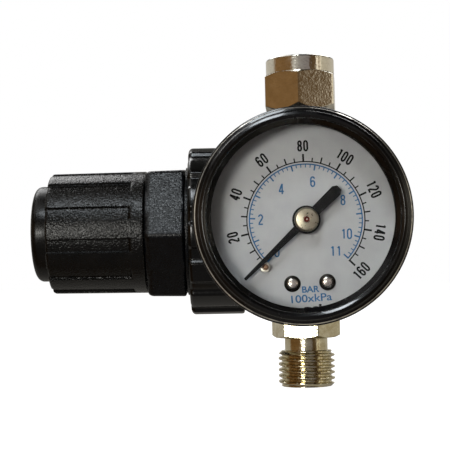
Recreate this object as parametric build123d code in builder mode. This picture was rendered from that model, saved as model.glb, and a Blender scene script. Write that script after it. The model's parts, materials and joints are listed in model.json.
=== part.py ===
"""In-line air pressure regulator with a dial gauge: a knob, a spring bonnet and a ribbed clamp ring on the
left, a swivel nut on top where air comes in, a male thread below where it leaves, and a gauge in front.

Frame, in millimetres: +Z runs up the port axis, from the outlet towards the inlet, and the origin is on that
axis at the lower end of the outlet thread's full diameter. The knob axis is parallel to X and the knob is on
the -X side. The gauge looks along -Y."""

import os
from math import cos, pi, radians, sin

from build123d import *

os.makedirs("parts", exist_ok=True)

# Axes
KNOB_Z = 35.9  # height of the knob axis above the origin
GAUGE_X, GAUGE_Z = -2.15, 35.5  # the gauge's own axis, through its socket and its pointer
CASE_OFFSET = (-0.9, 0.55)  # the case and its glass stand this far left of that axis and above it

# Standard sizes
G14_MAJOR, G14_MINOR = 13.157, 11.445  # G 1/4 pipe thread
G18_MAJOR = 9.728  # G 1/8 pipe thread of the gauge
INLET_NUT_AF = 16.0
FITTING_AF = 14.0
BONNET_AF, BONNET_DRAFT = 28.7, 1.2  # at the hexagon's left end, and the angle that it widens by
RUNNING = 0.05  # radial clearance of what turns or slides
JOINT_GAP = 0.05  # gap between faces that only meet when clamped

# Knob, bonnet and ring along the knob axis, by their X
CAP_LEFT, KNOB_LEFT, KNOB_RIGHT = -62.75, -59.0, -36.7
KNOB_COLLAR = -39.8  # the grooves end here
KNOB_R_LEFT, KNOB_R_RIGHT, KNOB_BORE_R = 14.1, 14.3, 11.9
KNOB_GROOVES, KNOB_GROOVE_DEG, KNOB_GROOVE_DEPTH, KNOB_GROOVE_PHASE = 12, 12.0, 0.55, 14.4
HUB_R, DRIVE_AF = 7.0, 7.0
NECK_LEFT, NECK_WALL, NECK_R = -49.5, 3.0, 11.4
HEX_LEFT, HEX_RIGHT = -36.5, -27.5
BONNET_HEX_PHASE = 5.7  # one corner of the hexagon is this far below the front
SPRING_CHAMBER_AF = 17.6
FLANGE_LEFT, FLANGE_RIGHT, FLANGE_R = -25.0, -22.3, 17.1
RING_LEFT, RING_RIGHT, RING_R = -26.6, -14.2, 19.6
RING_RIBS, RING_GROOVE_DEG, RING_GROOVE_DEPTH, RING_RIB_PHASE = 14, 9.0, 0.9, 5.5
SPIGOT_LEFT = -20.2

# Spring, diaphragm and valve
SPRING_OD, SPRING_WIRE, SPRING_TURNS = 16.2, 2.0, 3.6
NUT_LEFT, NUT_RIGHT = -43.5, -38.5
PLATE_LEFT, PLATE_RIGHT, PLATE_R = -23.3, -21.85, 11.5
WEB_LEFT, WEB_RIGHT = -21.8, -20.8
HUB_FLANGE_RIGHT = -19.25
CHAMBER_R, CHAMBER_FLOOR = 14.0, -17.2
SEAT_LEFT, SEAT_RIGHT = -0.5, 1.5
VALVE_BORE_R, PLUG_BORE_R = 6.5, 8.0
BODY_R, BODY_RIGHT = 17.0, 20.0

# Ports, by their distance from the knob axis
BOSS_R, BOSS_END = 10.0, 19.9
PORT_DEPTH = 9.5  # the port's floor
WASHER = 1.0
BORE_R = 3.0
SHANK_R = 6.55
THREAD_TOP = 28.4  # where the outlet thread starts, measured down from the knob axis
THREAD_CHAMFER = 0.8
NUT_BOTTOM, NUT_TOP, NUT_BAND = 27.8, 40.1, 3.6

# Gauge, by its Y
CASE_BACK, CASE_FRONT, CASE_R, CASE_WALL = -27.0, -49.0, 19.8, 0.8
BEZEL_BACK, BEZEL_FRONT, BEZEL_R, OPENING_R = -46.0, -53.0, 21.0, 17.5
LENS_R, LENS_BACK, LENS_FRONT = 19.7, -49.5, -51.0
DIAL_R, DIAL_BACK, DIAL_FRONT = 18.3, -44.0, -44.5
PLATE_T = 1.0
BACK_PLATE_Y, FRONT_PLATE_Y = -35.0, -41.0  # the rear face of each movement plate
SECTOR_Y, SECTOR_T = -38.6, 0.8
MODULE, PINION_TEETH, SECTOR_TEETH = 0.2, 12, 102
SECTOR_SWEEP = 31.3
POINTER_ZERO = -133.1  # degrees clockwise from the top of the dial
POINTER_Y, POINTER_T = -46.1, 0.3
POINTER_TIP, POINTER_TAIL = 16.6, 8.9
TUBE_R = 14.4
TAIL_R, LINK_LENGTH = 4.0, 5.5
DIAL_SCREWS = [(-2.9, -12.3), (3.9, -12.1)]
PILLARS = [(0.0, 7.5), (3.9, -12.1)]
STOP_R, STOP_ANGLE = 12.1, -138.0

# The plane of both the knob axis and the port axis, seen from the front.
MIDDLE_PLANE = Plane(origin=(0, 0, KNOB_Z), x_dir=(1, 0, 0), z_dir=(0, -1, 0))
KNOB_AXIS = Axis((0, 0, KNOB_Z), (1, 0, 0))
GAUGE_AXIS = Axis((GAUGE_X, 0, GAUGE_Z), (0, 1, 0))


def outline(plane, points):
    """A face with straight edges between points, in the plane's own axes."""
    with BuildSketch(plane) as face:
        with BuildLine():
            Polyline(points, close=True)
        make_face()
    return face.sketch


def turned_x(points, mode=Mode.ADD):
    """Turn an outline of (x, radius) points about the knob axis."""
    revolve(outline(MIDDLE_PLANE, points), axis=KNOB_AXIS, mode=mode)


def turned_z(points, mode=Mode.ADD):
    """Turn an outline of (radius, distance above the knob axis) points about the port axis."""
    revolve(outline(MIDDLE_PLANE, points), axis=Axis.Z, mode=mode)


def turned_y(points, mode=Mode.ADD, centre=(0.0, 0.0)):
    """Turn an outline of (radius, y) points about an axis parallel to the gauge's, at centre."""
    place = (GAUGE_X + centre[0], 0, GAUGE_Z + centre[1])
    section = Plane(origin=place, x_dir=(1, 0, 0), z_dir=(0, 0, 1))
    revolve(outline(section, points), axis=Axis(place, (0, 1, 0)), mode=mode)


def tube(start, end, outer, inner=0.0):
    """The outline of a plain ring, or of a disc if inner is 0, as (along, radius) points."""
    return [(start, inner), (end, inner), (end, outer), (start, outer)]


def flipped(points):
    """Swap each point's two values, for outlines that give the radius first."""
    return [(b, a) for a, b in points]


def across_x(x, turn=0.0):
    """A plane square to the knob axis at x, its own X axis pointing to the front and turned down by turn."""
    front = (0, -cos(radians(turn)), -sin(radians(turn)))
    return Plane(origin=(x, 0, KNOB_Z), x_dir=front, z_dir=(1, 0, 0))


def across_y(y):
    """A plane square to the gauge axis at y, seen from the front: right is its +X and up is its +Y."""
    return Plane(origin=(GAUGE_X, y, GAUGE_Z), x_dir=(1, 0, 0), z_dir=(0, -1, 0))


def across_z(height, turn=0.0):
    """A plane square to the port axis at a height above the knob axis."""
    return Plane.XY.offset(KNOB_Z + height).rotated((0, 0, turn))


def dial_point(radius, angle):
    """The gauge's (right, up) place at a radius and an angle clockwise from the top."""
    return radius * sin(radians(angle)), radius * cos(radians(angle))


def hexagon(plane, across_flats, length, mode=Mode.ADD):
    """A hexagonal prism along a plane's normal, with a corner on the plane's X axis."""
    with BuildSketch(plane) as face:
        RegularPolygon(across_flats / 2, 6, major_radius=False)
    extrude(face.sketch, amount=length, mode=mode)


def coil(radius, wire, pitch, height, start):
    """Sweep a round wire along a helix about the knob axis that starts at X start."""
    axis_plane = Plane(origin=(start, 0, KNOB_Z), x_dir=(0, 0, 1), z_dir=(1, 0, 0))
    path = axis_plane.location * Helix(pitch, height, radius, mode=Mode.PRIVATE)
    with BuildSketch(Plane(origin=path @ 0, z_dir=path % 0)) as section:
        Circle(wire / 2)
    sweep(section.sketch, path=path, is_frenet=True)


def save(piece, name):
    """Label a finished piece and write its STEP file."""
    piece.part.label = name
    export_step(piece.part, f"parts/{name}.step")


# ---------------------------------------------------------------- knob and adjusting screw

CAP_RECESS_R, CAP_SPIGOT_R, CAP_R = 9.0, 8.95, 11.2
KNOB_WALL, KNOB_WEB = 2.5, 1.0
DRIVE_LEFT = KNOB_LEFT + KNOB_WALL + KNOB_WEB
DRIVE_RIGHT = -50.5

with BuildPart() as knob:
    turned_x(
        [
            (KNOB_LEFT, CAP_RECESS_R),
            (KNOB_LEFT + KNOB_WALL, CAP_RECESS_R),
            (KNOB_LEFT + KNOB_WALL, 0),
            (DRIVE_LEFT, 0),
            (DRIVE_LEFT, HUB_R - 2),
            (DRIVE_RIGHT, HUB_R - 2),
            (DRIVE_RIGHT, HUB_R),
            (DRIVE_LEFT + 1, HUB_R),
            (DRIVE_LEFT, HUB_R + 1),
            (DRIVE_LEFT, KNOB_BORE_R),
            (KNOB_RIGHT, KNOB_BORE_R),
            (KNOB_RIGHT, KNOB_R_RIGHT - 0.3),
            (KNOB_RIGHT - 0.3, KNOB_R_RIGHT),
            (KNOB_LEFT + 0.8, KNOB_R_LEFT),
            (KNOB_LEFT + 0.25, KNOB_R_LEFT - 0.25),
            (KNOB_LEFT, KNOB_R_LEFT - 0.8),
        ]
    )
    turned_x(tube(DRIVE_LEFT, DRIVE_RIGHT, HUB_R - 1.9))
    hexagon(across_x(DRIVE_LEFT), DRIVE_AF + 4 * RUNNING, DRIVE_RIGHT - DRIVE_LEFT, Mode.SUBTRACT)
    groove_width = 2 * KNOB_R_LEFT * sin(radians(KNOB_GROOVE_DEG / 2))
    for index in range(KNOB_GROOVES):
        turn = KNOB_GROOVE_PHASE + index * 360 / KNOB_GROOVES
        with BuildSketch(across_x(KNOB_LEFT - 0.1, turn)) as groove:
            with Locations((KNOB_R_LEFT + 1 - KNOB_GROOVE_DEPTH, 0)):
                RectangleRounded(2, groove_width, 0.4)
        extrude(groove.sketch, amount=KNOB_COLLAR - KNOB_LEFT + 0.1, mode=Mode.SUBTRACT)
save(knob, "knob")

with BuildPart() as knob_cap:
    turned_x(
        [
            (CAP_LEFT, 0),
            (CAP_LEFT, CAP_R - 1.2),
            (CAP_LEFT + 0.16, CAP_R - 0.6),
            (CAP_LEFT + 0.6, CAP_R - 0.16),
            (CAP_LEFT + 1.2, CAP_R),
            (KNOB_LEFT, CAP_R),
            (KNOB_LEFT, CAP_SPIGOT_R),
            (KNOB_LEFT + KNOB_WALL - 0.1, CAP_SPIGOT_R),
            (KNOB_LEFT + KNOB_WALL - 0.1, 0),
        ]
    )
save(knob_cap, "knob_cap")

CLIP_LEFT, CLIP_RIGHT, CLIP_GROOVE_R = -50.3, -49.7, 3.25
SHANK_SCREW_R, COLLAR_R = 4.0, 6.5
COLLAR_LEFT, COLLAR_RIGHT = -45.6, -44.2
SCREW_R, SCREW_RIGHT = 3.0, -33.0

with BuildPart() as adjusting_screw:
    hexagon(across_x(DRIVE_LEFT + 0.1), DRIVE_AF, CLIP_LEFT - 0.5 - DRIVE_LEFT)
    turned_x(tube(CLIP_LEFT - 0.6, CLIP_RIGHT + 0.1, CLIP_GROOVE_R))
    turned_x(tube(CLIP_RIGHT + 0.1, COLLAR_LEFT, SHANK_SCREW_R))
    turned_x(tube(COLLAR_LEFT, COLLAR_RIGHT, COLLAR_R))
    turned_x(
        [
            (COLLAR_RIGHT, 0),
            (COLLAR_RIGHT, SCREW_R),
            (SCREW_RIGHT - 0.6, SCREW_R),
            (SCREW_RIGHT, SCREW_R - 0.6),
            (SCREW_RIGHT, 0),
        ]
    )
save(adjusting_screw, "adjusting_screw")

with BuildPart() as screw_clip:
    turned_x(tube(CLIP_LEFT, CLIP_RIGHT, 6.0, CLIP_GROOVE_R + 0.05))
    with BuildSketch(across_x(CLIP_LEFT)) as mouth:
        with Locations((5, 0)):
            Rectangle(10, 5.2)
    extrude(mouth.sketch, amount=CLIP_RIGHT - CLIP_LEFT, mode=Mode.SUBTRACT)
save(screw_clip, "screw_clip")

with BuildPart() as thrust_washer:
    wall_inside = NECK_LEFT + NECK_WALL
    turned_x(tube(wall_inside + JOINT_GAP, COLLAR_LEFT - JOINT_GAP, 7.0, SHANK_SCREW_R + 0.1))
save(thrust_washer, "thrust_washer")

with BuildPart() as spring_nut:
    hexagon(across_x(NUT_LEFT), SPRING_CHAMBER_AF - 0.3, NUT_RIGHT - NUT_LEFT)
    turned_x(tube(NUT_RIGHT, NUT_RIGHT + 2, 5.5))
    turned_x(tube(NUT_LEFT, NUT_RIGHT + 2, SCREW_R + 2 * RUNNING), mode=Mode.SUBTRACT)
save(spring_nut, "spring_nut")

# ---------------------------------------------------------------- bonnet and clamp ring

PLATE_BAY_LEFT, PLATE_BAY_R = -27.0, 12.6

with BuildPart() as bonnet:
    turned_x(
        [
            (NECK_LEFT, 0),
            (NECK_LEFT, NECK_R - 0.5),
            (NECK_LEFT + 0.5, NECK_R),
            (HEX_LEFT, NECK_R),
            (HEX_LEFT, 12.9),
            (HEX_RIGHT, 12.9),
            (HEX_RIGHT, 15.0),
            (FLANGE_LEFT, 15.0),
            (FLANGE_LEFT, FLANGE_R),
            (FLANGE_RIGHT, FLANGE_R),
            (FLANGE_RIGHT, 0),
        ]
    )
    with BuildPart(mode=Mode.PRIVATE) as nut_shape:
        with BuildSketch(across_x(HEX_LEFT, BONNET_HEX_PHASE)) as six:
            RegularPolygon(BONNET_AF / 2, 6, major_radius=False)
            fillet(six.vertices(), 1.0)
        extrude(amount=HEX_RIGHT - HEX_LEFT, taper=-BONNET_DRAFT)
        turned_x(
            [
                (HEX_LEFT, 0),
                (HEX_LEFT, 15.4),
                (HEX_LEFT + 0.9, 17.0),
                (HEX_RIGHT - 0.5, 17.0),
                (HEX_RIGHT, 16.0),
                (HEX_RIGHT, 0),
            ],
            mode=Mode.INTERSECT,
        )
    add(nut_shape.part)
    chamber = NECK_LEFT + NECK_WALL
    hexagon(across_x(chamber), SPRING_CHAMBER_AF, FLANGE_RIGHT - chamber, Mode.SUBTRACT)
    turned_x(tube(PLATE_BAY_LEFT, FLANGE_RIGHT, PLATE_BAY_R), mode=Mode.SUBTRACT)
    turned_x(tube(NECK_LEFT, chamber, SHANK_SCREW_R + 0.1), mode=Mode.SUBTRACT)
save(bonnet, "bonnet")

with BuildPart() as clamp_ring:
    turned_x(
        [
            (RING_LEFT, 15.2),
            (RING_LEFT, RING_R - 1.2),
            (RING_LEFT + 0.2, RING_R - 0.6),
            (RING_LEFT + 0.6, RING_R - 0.2),
            (RING_LEFT + 1.2, RING_R),
            (RING_RIGHT - 0.8, RING_R),
            (RING_RIGHT - 0.25, RING_R - 0.25),
            (RING_RIGHT, RING_R - 0.8),
            (RING_RIGHT, FLANGE_R + 0.1),
            (FLANGE_LEFT - JOINT_GAP, FLANGE_R + 0.1),
            (FLANGE_LEFT - JOINT_GAP, 15.2),
        ]
    )
    groove_width = 2 * RING_R * sin(radians(RING_GROOVE_DEG / 2))
    for index in range(RING_RIBS):
        turn = RING_RIB_PHASE + (index + 0.5) * 360 / RING_RIBS
        with BuildSketch(across_x(RING_LEFT + 1.4, turn)) as groove:
            with Locations((RING_R + 1.5 - RING_GROOVE_DEPTH, 0)):
                RectangleRounded(3, groove_width, 0.7)
        extrude(groove.sketch, amount=RING_RIGHT - RING_LEFT, mode=Mode.SUBTRACT)
save(clamp_ring, "clamp_ring")

# ---------------------------------------------------------------- spring, diaphragm and valve

with BuildPart() as main_spring:
    spring_length = PLATE_LEFT - NUT_RIGHT - 2 * JOINT_GAP
    rise = spring_length - SPRING_WIRE
    coil(
        (SPRING_OD - SPRING_WIRE) / 2,
        SPRING_WIRE,
        rise / SPRING_TURNS,
        rise,
        NUT_RIGHT + JOINT_GAP + SPRING_WIRE / 2,
    )
save(main_spring, "main_spring")

STEM_HOLE_R = 2.1

with BuildPart() as spring_plate:
    turned_x(
        [
            (PLATE_LEFT - 2, STEM_HOLE_R),
            (PLATE_LEFT - 2, 4.6),
            (PLATE_LEFT - 1.6, 5.0),
            (PLATE_LEFT, 5.0),
            (PLATE_LEFT, PLATE_R - 0.4),
            (PLATE_LEFT + 0.4, PLATE_R),
            (PLATE_RIGHT, PLATE_R),
            (PLATE_RIGHT, STEM_HOLE_R),
        ]
    )
save(spring_plate, "spring_plate")

with BuildPart() as diaphragm:
    bead_left, bead_right = FLANGE_RIGHT + JOINT_GAP, SPIGOT_LEFT - JOINT_GAP
    turned_x(
        [
            (WEB_LEFT, STEM_HOLE_R),
            (WEB_LEFT, 14.0),
            (bead_left, 14.2),
            (bead_left, 16.6),
            (bead_right, 16.6),
            (bead_right, 14.2),
            (WEB_RIGHT, 14.0),
            (WEB_RIGHT, STEM_HOLE_R),
        ]
    )
save(diaphragm, "diaphragm")

with BuildPart() as diaphragm_hub:
    turned_x(
        [
            (PLATE_LEFT - 2.5, 0),
            (PLATE_LEFT - 2.5, STEM_HOLE_R - 0.1),
            (WEB_RIGHT + JOINT_GAP, STEM_HOLE_R - 0.1),
            (WEB_RIGHT + JOINT_GAP, 5.5),
            (HUB_FLANGE_RIGHT, 5.5),
            (HUB_FLANGE_RIGHT, 0),
        ]
    )
save(diaphragm_hub, "diaphragm_hub")

STEM_R, GUIDE_WALL = 1.0, 2.7
STEM_RIGHT = 2.5

with BuildPart() as valve_stem:
    turned_x(
        [
            (HUB_FLANGE_RIGHT + JOINT_GAP, 0),
            (HUB_FLANGE_RIGHT + JOINT_GAP, STEM_R - 0.2),
            (HUB_FLANGE_RIGHT + JOINT_GAP + 0.2, STEM_R),
            (STEM_RIGHT, STEM_R),
            (STEM_RIGHT, 0),
        ]
    )
save(valve_stem, "valve_stem")

with BuildPart() as valve_seat:
    turned_x(
        [
            (SEAT_LEFT, 2.2),
            (SEAT_LEFT, 5.5),
            (SEAT_RIGHT - 0.5, 5.5),
            (SEAT_RIGHT - 0.5, 2.9),
            (SEAT_RIGHT, 2.5),
            (SEAT_RIGHT, 2.2),
        ]
    )
save(valve_seat, "valve_seat")

with BuildPart() as valve_pad:
    turned_x(tube(SEAT_RIGHT + JOINT_GAP, STEM_RIGHT, 3.6, STEM_R + 0.02))
save(valve_pad, "valve_pad")

POPPET_RIGHT = 6.0
PLUG_POCKET_FLOOR = 17.0

with BuildPart() as valve_poppet:
    turned_x(
        [
            (STEM_RIGHT, 0),
            (STEM_RIGHT, 3.9),
            (STEM_RIGHT + 0.3, 4.2),
            (POPPET_RIGHT, 4.2),
            (POPPET_RIGHT, 2.2),
            (POPPET_RIGHT + 4.5, 2.2),
            (POPPET_RIGHT + 5, 1.7),
            (POPPET_RIGHT + 5, 0),
        ]
    )
save(valve_poppet, "valve_poppet")

with BuildPart() as valve_spring:
    wire = 0.6
    rise = PLUG_POCKET_FLOOR - POPPET_RIGHT - 2 * JOINT_GAP - wire
    coil(3.2, wire, rise / 6, rise, POPPET_RIGHT + JOINT_GAP + wire / 2)
save(valve_spring, "valve_spring")

# ---------------------------------------------------------------- body and rear plug

PLUG_FLANGE_R, PLUG_FLANGE = 9.5, 2.0
O_RING_LEFT, O_RING_WIDTH = 14.0, 1.4

with BuildPart() as body:
    turned_x(
        [
            (SPIGOT_LEFT, 0),
            (SPIGOT_LEFT, FLANGE_R),
            (RING_RIGHT, FLANGE_R),
            (RING_RIGHT + 0.1, 18.2),
            (RING_RIGHT + 1.8, 18.2),
            (RING_RIGHT + 2.4, BODY_R),
            (BODY_RIGHT - 5.5, BODY_R),
            (BODY_RIGHT - 1.7, 14.2),
            (BODY_RIGHT - 0.4, 12.8),
            (BODY_RIGHT, 12.2),
            (BODY_RIGHT, 0),
        ]
    )
    turned_z(
        [
            (0, -BOSS_END),
            (BOSS_R - 0.6, -BOSS_END),
            (BOSS_R, -BOSS_END + 0.6),
            (BOSS_R, BOSS_END - 0.6),
            (BOSS_R - 0.6, BOSS_END),
            (0, BOSS_END),
        ]
    )
    turned_y([(0, 0), (9.5, 0), (9.5, -18.9), (8.9, -19.5), (0, -19.5)])
    # A raised arrow on the back shows the way the air flows.
    with BuildSketch(Plane(origin=(0, 15, KNOB_Z), x_dir=(-1, 0, 0), z_dir=(0, 1, 0))) as arrow:
        with BuildLine():
            Polyline((-1, 6), (1, 6), (1, -1), (3, -1), (0, -6), (-3, -1), (-1, -1), (-1, 6))
        make_face()
    extrude(arrow.sketch, amount=2.5)
    turned_x(tube(SPIGOT_LEFT, CHAMBER_FLOOR, CHAMBER_R), mode=Mode.SUBTRACT)
    turned_x(tube(CHAMBER_FLOOR, CHAMBER_FLOOR + GUIDE_WALL, STEM_R + RUNNING), mode=Mode.SUBTRACT)
    turned_x(tube(CHAMBER_FLOOR + GUIDE_WALL, SEAT_LEFT, BORE_R), mode=Mode.SUBTRACT)
    turned_x(tube(SEAT_LEFT, SEAT_RIGHT, 5.5), mode=Mode.SUBTRACT)
    turned_x(tube(SEAT_RIGHT, 11.5, VALVE_BORE_R), mode=Mode.SUBTRACT)
    turned_x(tube(11.5, BODY_RIGHT, PLUG_BORE_R), mode=Mode.SUBTRACT)
    turned_z(flipped(tube(PORT_DEPTH, BOSS_END, SHANK_R + 0.05)), mode=Mode.SUBTRACT)
    turned_z(flipped(tube(-BOSS_END, -PORT_DEPTH, SHANK_R + 0.05)), mode=Mode.SUBTRACT)
    turned_y(flipped(tube(-9.0, -19.5, G18_MAJOR / 2 + 0.03)), mode=Mode.SUBTRACT)
    turned_y(flipped(tube(0, -9.0, 1.2)), mode=Mode.SUBTRACT)
    # Passages: inlet to the valve chamber, low side to the outlet, low side to the diaphragm.
    for plane, place, radius, length in (
        (Plane.XY.offset(KNOB_Z + PORT_DEPTH + 0.5), (3.6, 0), 1.8, -6),
        (Plane.XY.offset(KNOB_Z - PORT_DEPTH - 0.5), (-2.8, 0), 1.8, 10),
        (Plane(origin=(CHAMBER_FLOOR - 0.5, 0, KNOB_Z), z_dir=(1, 0, 0)), (2.2, 0), 0.6, 4),
    ):
        with BuildSketch(plane) as passage:
            with Locations(place):
                Circle(radius)
        extrude(passage.sketch, amount=length, mode=Mode.SUBTRACT)
save(body, "body")

with BuildPart() as bottom_plug:
    turned_x(
        [
            (11.8, 4.0),
            (11.8, PLUG_BORE_R - 0.6),
            (12.3, PLUG_BORE_R - 0.1),
            (O_RING_LEFT, PLUG_BORE_R - 0.1),
            (O_RING_LEFT, PLUG_BORE_R - 1.2),
            (O_RING_LEFT + O_RING_WIDTH, PLUG_BORE_R - 1.2),
            (O_RING_LEFT + O_RING_WIDTH, PLUG_BORE_R - 0.1),
            (BODY_RIGHT, PLUG_BORE_R - 0.1),
            (BODY_RIGHT, PLUG_FLANGE_R),
            (BODY_RIGHT + PLUG_FLANGE - 0.5, PLUG_FLANGE_R),
            (BODY_RIGHT + PLUG_FLANGE, PLUG_FLANGE_R - 0.5),
            (BODY_RIGHT + PLUG_FLANGE, 0),
            (PLUG_POCKET_FLOOR, 0),
            (PLUG_POCKET_FLOOR, 4.0),
        ]
    )
    with BuildSketch(across_x(BODY_RIGHT + PLUG_FLANGE)) as slot:
        Rectangle(14, 1.6)
    extrude(slot.sketch, amount=-1.2, mode=Mode.SUBTRACT)
save(bottom_plug, "bottom_plug")

with BuildPart() as plug_o_ring:
    with BuildSketch(MIDDLE_PLANE) as section:
        with Locations((O_RING_LEFT + O_RING_WIDTH / 2, PLUG_BORE_R - 0.6)):
            Circle(0.57)
    revolve(section.sketch, axis=KNOB_AXIS)
save(plug_o_ring, "plug_o_ring")

# ---------------------------------------------------------------- inlet: washer, nipple, swivel nut

for name, low in (("inlet_washer", BOSS_END), ("outlet_washer", -BOSS_END - WASHER)):
    with BuildPart() as washer:
        turned_z(flipped(tube(low, low + WASHER, 8.6, SHANK_R + 0.1)))
    save(washer, name)

# A fitting's hexagon is chamfered from the flats outwards; its corners reach just short of HEX_CORNER_R.
HEX_CHAMFER_R, HEX_CORNER_R, HEX_CHAMFER = 6.8, 8.1, 0.6
NIPPLE_HEX = 4.0
NIPPLE_R, LIP_R = 4.6, 4.7
LIP_TOP, RELIEF_TOP, MOUTH = 29.2, 31.4, 0.7
RING_Z, RING_WIRE = 30.0, 0.8
NIPPLE_TOP = RELIEF_TOP - 0.1

with BuildPart() as inlet_nipple:
    hex_low = BOSS_END + WASHER
    hexagon(across_z(hex_low, 12), FITTING_AF, NIPPLE_HEX)
    hex_top = hex_low + NIPPLE_HEX
    turned_z(
        [
            (0, hex_low),
            (HEX_CHAMFER_R, hex_low),
            (HEX_CORNER_R, hex_low + HEX_CHAMFER),
            (HEX_CORNER_R, hex_top - HEX_CHAMFER),
            (HEX_CHAMFER_R, hex_top),
            (0, hex_top),
        ],
        mode=Mode.INTERSECT,
    )
    turned_z(
        [
            (0, PORT_DEPTH + 0.1),
            (SHANK_R - 0.6, PORT_DEPTH + 0.1),
            (SHANK_R, PORT_DEPTH + 0.7),
            (SHANK_R, hex_low),
            (NIPPLE_R, hex_top),
            (NIPPLE_R, RING_Z - 0.5),
            (NIPPLE_R - 0.3, RING_Z - 0.5),
            (NIPPLE_R - 0.3, RING_Z + 0.5),
            (NIPPLE_R, RING_Z + 0.5),
            (NIPPLE_R - 0.1, RING_Z + 0.7),
            (NIPPLE_R - 0.7, NIPPLE_TOP),
            (0, NIPPLE_TOP),
        ]
    )
    turned_z(flipped(tube(PORT_DEPTH + 0.1, NIPPLE_TOP, BORE_R)), mode=Mode.SUBTRACT)
save(inlet_nipple, "inlet_nipple")

with BuildPart() as swivel_ring:
    with BuildSketch(MIDDLE_PLANE) as section:
        with Locations((NIPPLE_R + 0.15, RING_Z)):
            Circle(RING_WIRE / 2)
    revolve(section.sketch, axis=Axis.Z, revolution_arc=330)
save(swivel_ring, "swivel_ring")

with BuildPart() as inlet_nut:
    flat = INLET_NUT_AF / 2
    corner = flat / cos(radians(30)) + 0.1
    band_r = flat + 0.05
    band_low = NUT_TOP - NUT_BAND
    # One corner of the hexagon faces the front, turned slightly to the left.
    hexagon(across_z(NUT_BOTTOM, -97), INLET_NUT_AF, NUT_TOP - NUT_BOTTOM)
    turned_z(
        [
            (0, NUT_BOTTOM),
            (flat - 0.4, NUT_BOTTOM),
            (corner, NUT_BOTTOM + (corner - flat + 0.4) * 0.577),
            (corner, band_low - (corner - band_r) * 0.577),
            (band_r, band_low),
            (band_r, NUT_TOP - 0.35),
            (band_r - 0.35, NUT_TOP),
            (0, NUT_TOP),
        ],
        mode=Mode.INTERSECT,
    )
    turned_z(flipped(tube(band_low, NUT_TOP - 0.35, band_r)))
    turned_z(flipped(tube(NUT_BOTTOM, LIP_TOP, LIP_R)), mode=Mode.SUBTRACT)
    turned_z(flipped(tube(LIP_TOP, RELIEF_TOP, 6.0)), mode=Mode.SUBTRACT)
    turned_z(flipped(tube(RELIEF_TOP, NUT_TOP - MOUTH, G14_MINOR / 2)), mode=Mode.SUBTRACT)
    mouth_r = G14_MINOR / 2 + MOUTH + 0.2
    turned_z(
        [(0, NUT_TOP - MOUTH), (G14_MINOR / 2, NUT_TOP - MOUTH), (mouth_r, NUT_TOP), (0, NUT_TOP)],
        mode=Mode.SUBTRACT,
    )
save(inlet_nut, "inlet_nut")

# ---------------------------------------------------------------- outlet fitting

FITTING_HEX, OUTLET_NECK_R = 4.5, 5.0

with BuildPart() as outlet_fitting:
    hex_top = -BOSS_END - WASHER
    hex_low = hex_top - FITTING_HEX
    hexagon(across_z(hex_low, -72), FITTING_AF, FITTING_HEX)
    turned_z(
        [
            (0, hex_low),
            (HEX_CHAMFER_R, hex_low),
            (HEX_CORNER_R, hex_low + HEX_CHAMFER),
            (HEX_CORNER_R, hex_top),
            (0, hex_top),
        ],
        mode=Mode.INTERSECT,
    )
    thread_r = G14_MAJOR / 2
    thread_end = -KNOB_Z - THREAD_CHAMFER
    turned_z(
        [
            (BORE_R, -PORT_DEPTH - 0.1),
            (SHANK_R - 0.6, -PORT_DEPTH - 0.1),
            (SHANK_R, -PORT_DEPTH - 0.7),
            (SHANK_R, hex_top),
            (OUTLET_NECK_R, hex_low),
            (OUTLET_NECK_R, -THREAD_TOP),
            (thread_r - 0.7, -THREAD_TOP),
            (thread_r, -THREAD_TOP - 0.4),
            (thread_r, -KNOB_Z),
            (thread_r - THREAD_CHAMFER, thread_end),
            (BORE_R + 1.0, thread_end),
            (BORE_R, thread_end + 1.73),
        ]
    )
    turned_z(flipped(tube(thread_end + 1.73, -PORT_DEPTH - 0.1, BORE_R)), mode=Mode.SUBTRACT)
save(outlet_fitting, "outlet_fitting")

# ---------------------------------------------------------------- gauge housing

BLOCK_BACK = CASE_BACK - CASE_WALL - 0.1
SQUARE_BACK = -20.3
CASE_SCREWS = [(-7.75, 0.0), (7.75, 0.0)]
ARM_TURN, ARM_LENGTH, ARM_WIDTH = -45, 16.0, 7.0

with BuildPart() as gauge_socket:
    turned_y(flipped(tube(-9.1, SQUARE_BACK - 0.5, G18_MAJOR / 2)))
    with BuildSketch(across_y(SQUARE_BACK)) as square:
        RectangleRounded(12, 12, 0.8)
    extrude(square.sketch, amount=SQUARE_BACK - CASE_BACK)
    turned_y(flipped(tube(CASE_BACK, BLOCK_BACK, 4.4)))
    with BuildSketch(across_y(BLOCK_BACK)) as block:
        RectangleRounded(19, 9, 1)
        with Locations(Location((0, 0), ARM_TURN)):
            with Locations((ARM_LENGTH / 2, 0)):
                Rectangle(ARM_LENGTH, ARM_WIDTH)
    extrude(block.sketch, amount=BLOCK_BACK - BACK_PLATE_Y)
    turned_y(flipped(tube(-9.1, -30.0, 1.0)), mode=Mode.SUBTRACT)
    with BuildSketch(across_y(BLOCK_BACK)) as screw_holes:
        with Locations(*CASE_SCREWS):
            Circle(1.02)
    extrude(screw_holes.sketch, amount=5, mode=Mode.SUBTRACT)
save(gauge_socket, "gauge_socket")

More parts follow.
